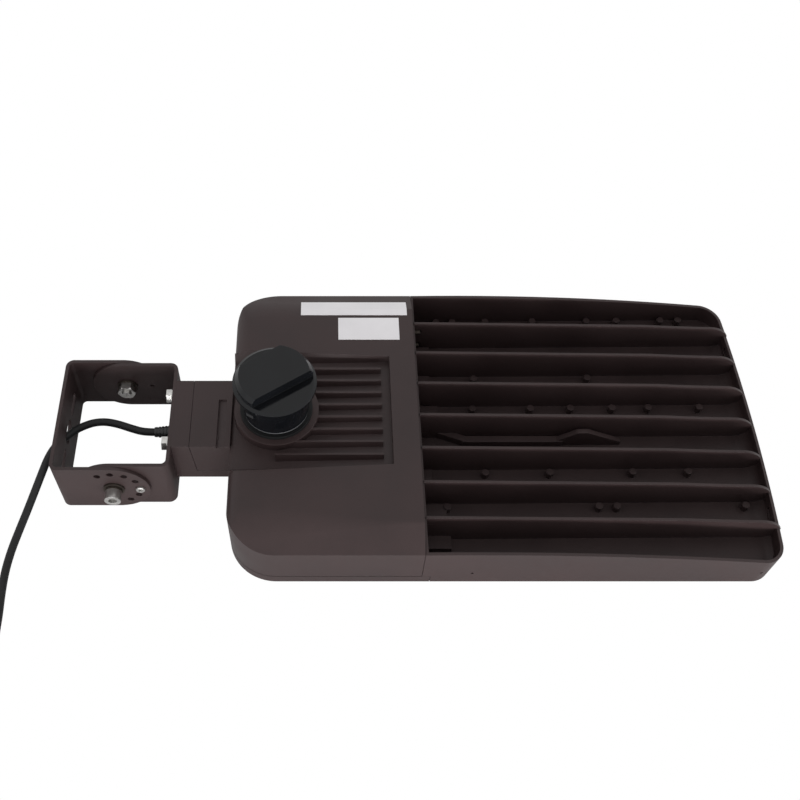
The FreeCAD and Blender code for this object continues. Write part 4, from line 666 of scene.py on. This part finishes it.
# ---------------------------------------------------------------- inside the box
# The driver in its aluminium case, the surge protector, the terminal block's brass screws and
# the inner end of the cord; also the brass contacts of the control socket and its cap.
driver_case = steel("driver_case_aluminium", (0.55, 0.56, 0.57), 0.42)
surge_plastic = moulded("surge_case_plastic", (0.04, 0.05, 0.08), 0.4)
brass = steel("contact_brass", (0.72, 0.52, 0.24), 0.3)
for piece, material, slot in (("led_driver", driver_case, "driver_case"),
                              ("surge_protector", surge_plastic, "surge_case"),
                              ("terminal_screws", brass, "brass_screws"),
                              ("inner_cord", jacket, "cord_jacket"),
                              ("receptacle_pads", brass, "contact_brass"),
                              ("receptacle_contacts", brass, "contact_brass"),
                              ("cap_blades", brass, "contact_brass")):
    finished(piece, material)

# ---------------------------------------------------------------- light boards and lenses
# White circuit boards behind clear moulded lens plates with a dome over each emitter. Each board
# is grown by a node tree: the sheet, and a grid of white chips with a yellow emitter on each.
board_white = moulded("solder_mask_white", (0.78, 0.78, 0.76), 0.35, spread=0.04)
BOARD_LONG, BOARD_WIDE, UNDERSIDE = 0.128, 0.250, 0.0200
phosphor = moulded("phosphor_yellow", (0.85, 0.55, 0.06), 0.5, spread=0.06)
board_tree, given, out = growth("light_board", {
    "Board Length": BOARD_LONG, "Board Width": BOARD_WIDE, "Board Thickness": 0.0016,
    "Chip Side": 0.0050, "Chip Height": 0.0008, "Emitter Radius": 0.0019})
link = board_tree.links.new


def block(tree, length, width, height):
    """A block whose three sides are node outputs."""
    cube = tree.nodes.new("GeometryNodeMeshCube")
    sides = tree.nodes.new("ShaderNodeCombineXYZ")
    for slot, value in enumerate((length, width, height)):
        tree.links.new(value, sides.inputs[slot])
    tree.links.new(sides.outputs[0], cube.inputs["Size"])
    return cube.outputs["Mesh"]


def covered(tree, mesh, material):
    """Gives a mesh its material."""
    node = tree.nodes.new("GeometryNodeSetMaterial")
    node.inputs["Material"].default_value = material
    tree.links.new(mesh, node.inputs["Geometry"])
    return node.outputs["Geometry"]


def moved(tree, mesh, z):
    """Lifts a mesh by a fixed height."""
    node = tree.nodes.new("GeometryNodeTransform")
    node.inputs["Translation"].default_value = (0, 0, z)
    tree.links.new(mesh, node.inputs["Geometry"])
    return node.outputs["Geometry"]


sheet = covered(board_tree, block(board_tree, given.outputs["Board Length"],
                                  given.outputs["Board Width"], given.outputs["Board Thickness"]),
                board_white)
case = covered(board_tree, block(board_tree, given.outputs["Chip Side"], given.outputs["Chip Side"],
                                 given.outputs["Chip Height"]), white_nylon)
disc = board_tree.nodes.new("GeometryNodeMeshCylinder")
disc.inputs["Vertices"].default_value = 20
disc.inputs["Depth"].default_value = 0.0001
link(given.outputs["Emitter Radius"], disc.inputs["Radius"])
glow = covered(board_tree, disc.outputs["Mesh"], phosphor)
chip = board_tree.nodes.new("GeometryNodeJoinGeometry")
link(case, chip.inputs[0])
link(moved(board_tree, glow, -0.00036), chip.inputs[0])
grid = board_tree.nodes.new("GeometryNodeMeshGrid")
for side, count, axis in (("Board Length", 5, "X"), ("Board Width", 8, "Y")):
    grid.inputs["Vertices " + axis].default_value = count
    span = board_tree.nodes.new("ShaderNodeMath")
    span.operation = "MULTIPLY"
    span.inputs[1].default_value = (count - 1) / count
    link(given.outputs[side], span.inputs[0])
    link(span.outputs[0], grid.inputs["Size " + axis])
chips = board_tree.nodes.new("GeometryNodeInstanceOnPoints")
link(moved(board_tree, grid.outputs["Mesh"], -0.0012), chips.inputs["Points"])
link(chip.outputs[0], chips.inputs["Instance"])
whole_board = board_tree.nodes.new("GeometryNodeJoinGeometry")
link(sheet, whole_board.inputs[0])
link(chips.outputs[0], whole_board.inputs[0])
on_spot = board_tree.nodes.new("GeometryNodeInstanceOnPoints")
link(given.outputs["Geometry"], on_spot.inputs["Points"])
link(whole_board.outputs[0], on_spot.inputs["Instance"])
real = board_tree.nodes.new("GeometryNodeRealizeInstances")
link(on_spot.outputs[0], real.inputs[0])
link(real.outputs[0], out.inputs[0])
for node in ("led_board_box_end", "led_board_tip_end"):
    low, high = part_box(node)
    middle = ((low[0] + high[0]) / 2, (low[1] + high[1]) / 2, UNDERSIDE - 0.0008)
    lit = grown(node + "_populated", board_tree, [middle], {})
    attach(lit, "head")
    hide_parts(node)

clear = bpy.data.materials.new("clear_lens_acrylic")
clear.use_nodes = True
lens_skin = clear.node_tree.nodes["Principled BSDF"]
lens_skin.inputs["Base Color"].default_value = (0.95, 0.97, 0.98, 1)
lens_skin.inputs["Transmission Weight"].default_value = 1.0
lens_skin.inputs["Roughness"].default_value = 0.04
lens_skin.inputs["IOR"].default_value = 1.49
for piece in ("lens_array_box_end", "lens_array_tip_end"):
    finished(piece, clear)

# ---------------------------------------------------------------- control socket and cap
# A locking receptacle on its round seat, closed by a glossy black twist-on cap with a raised grip.
socket_black = moulded("socket_black", (0.0045, 0.0048, 0.0052), 0.52)
cap_black = moulded("cap_black_gloss", (0.0045, 0.0050, 0.0062), 0.13)
cap_black.node_tree.nodes["Principled BSDF"].inputs["Specular IOR Level"].default_value = 0.27
socket_black.node_tree.nodes["Principled BSDF"].inputs["Specular IOR Level"].default_value = 0.25
finished("receptacle", socket_black)
finished("shorting_cap", cap_black)

# ---------------------------------------------------------------- blank labels
# Two plain polyester labels, one over the far shoulder and one near the end of the box.
film = moulded("label_film_white", (0.80, 0.78, 0.80), 0.38, spread=0.03)
for piece in ("upper_label", "lower_label"):
    finished(piece, film)
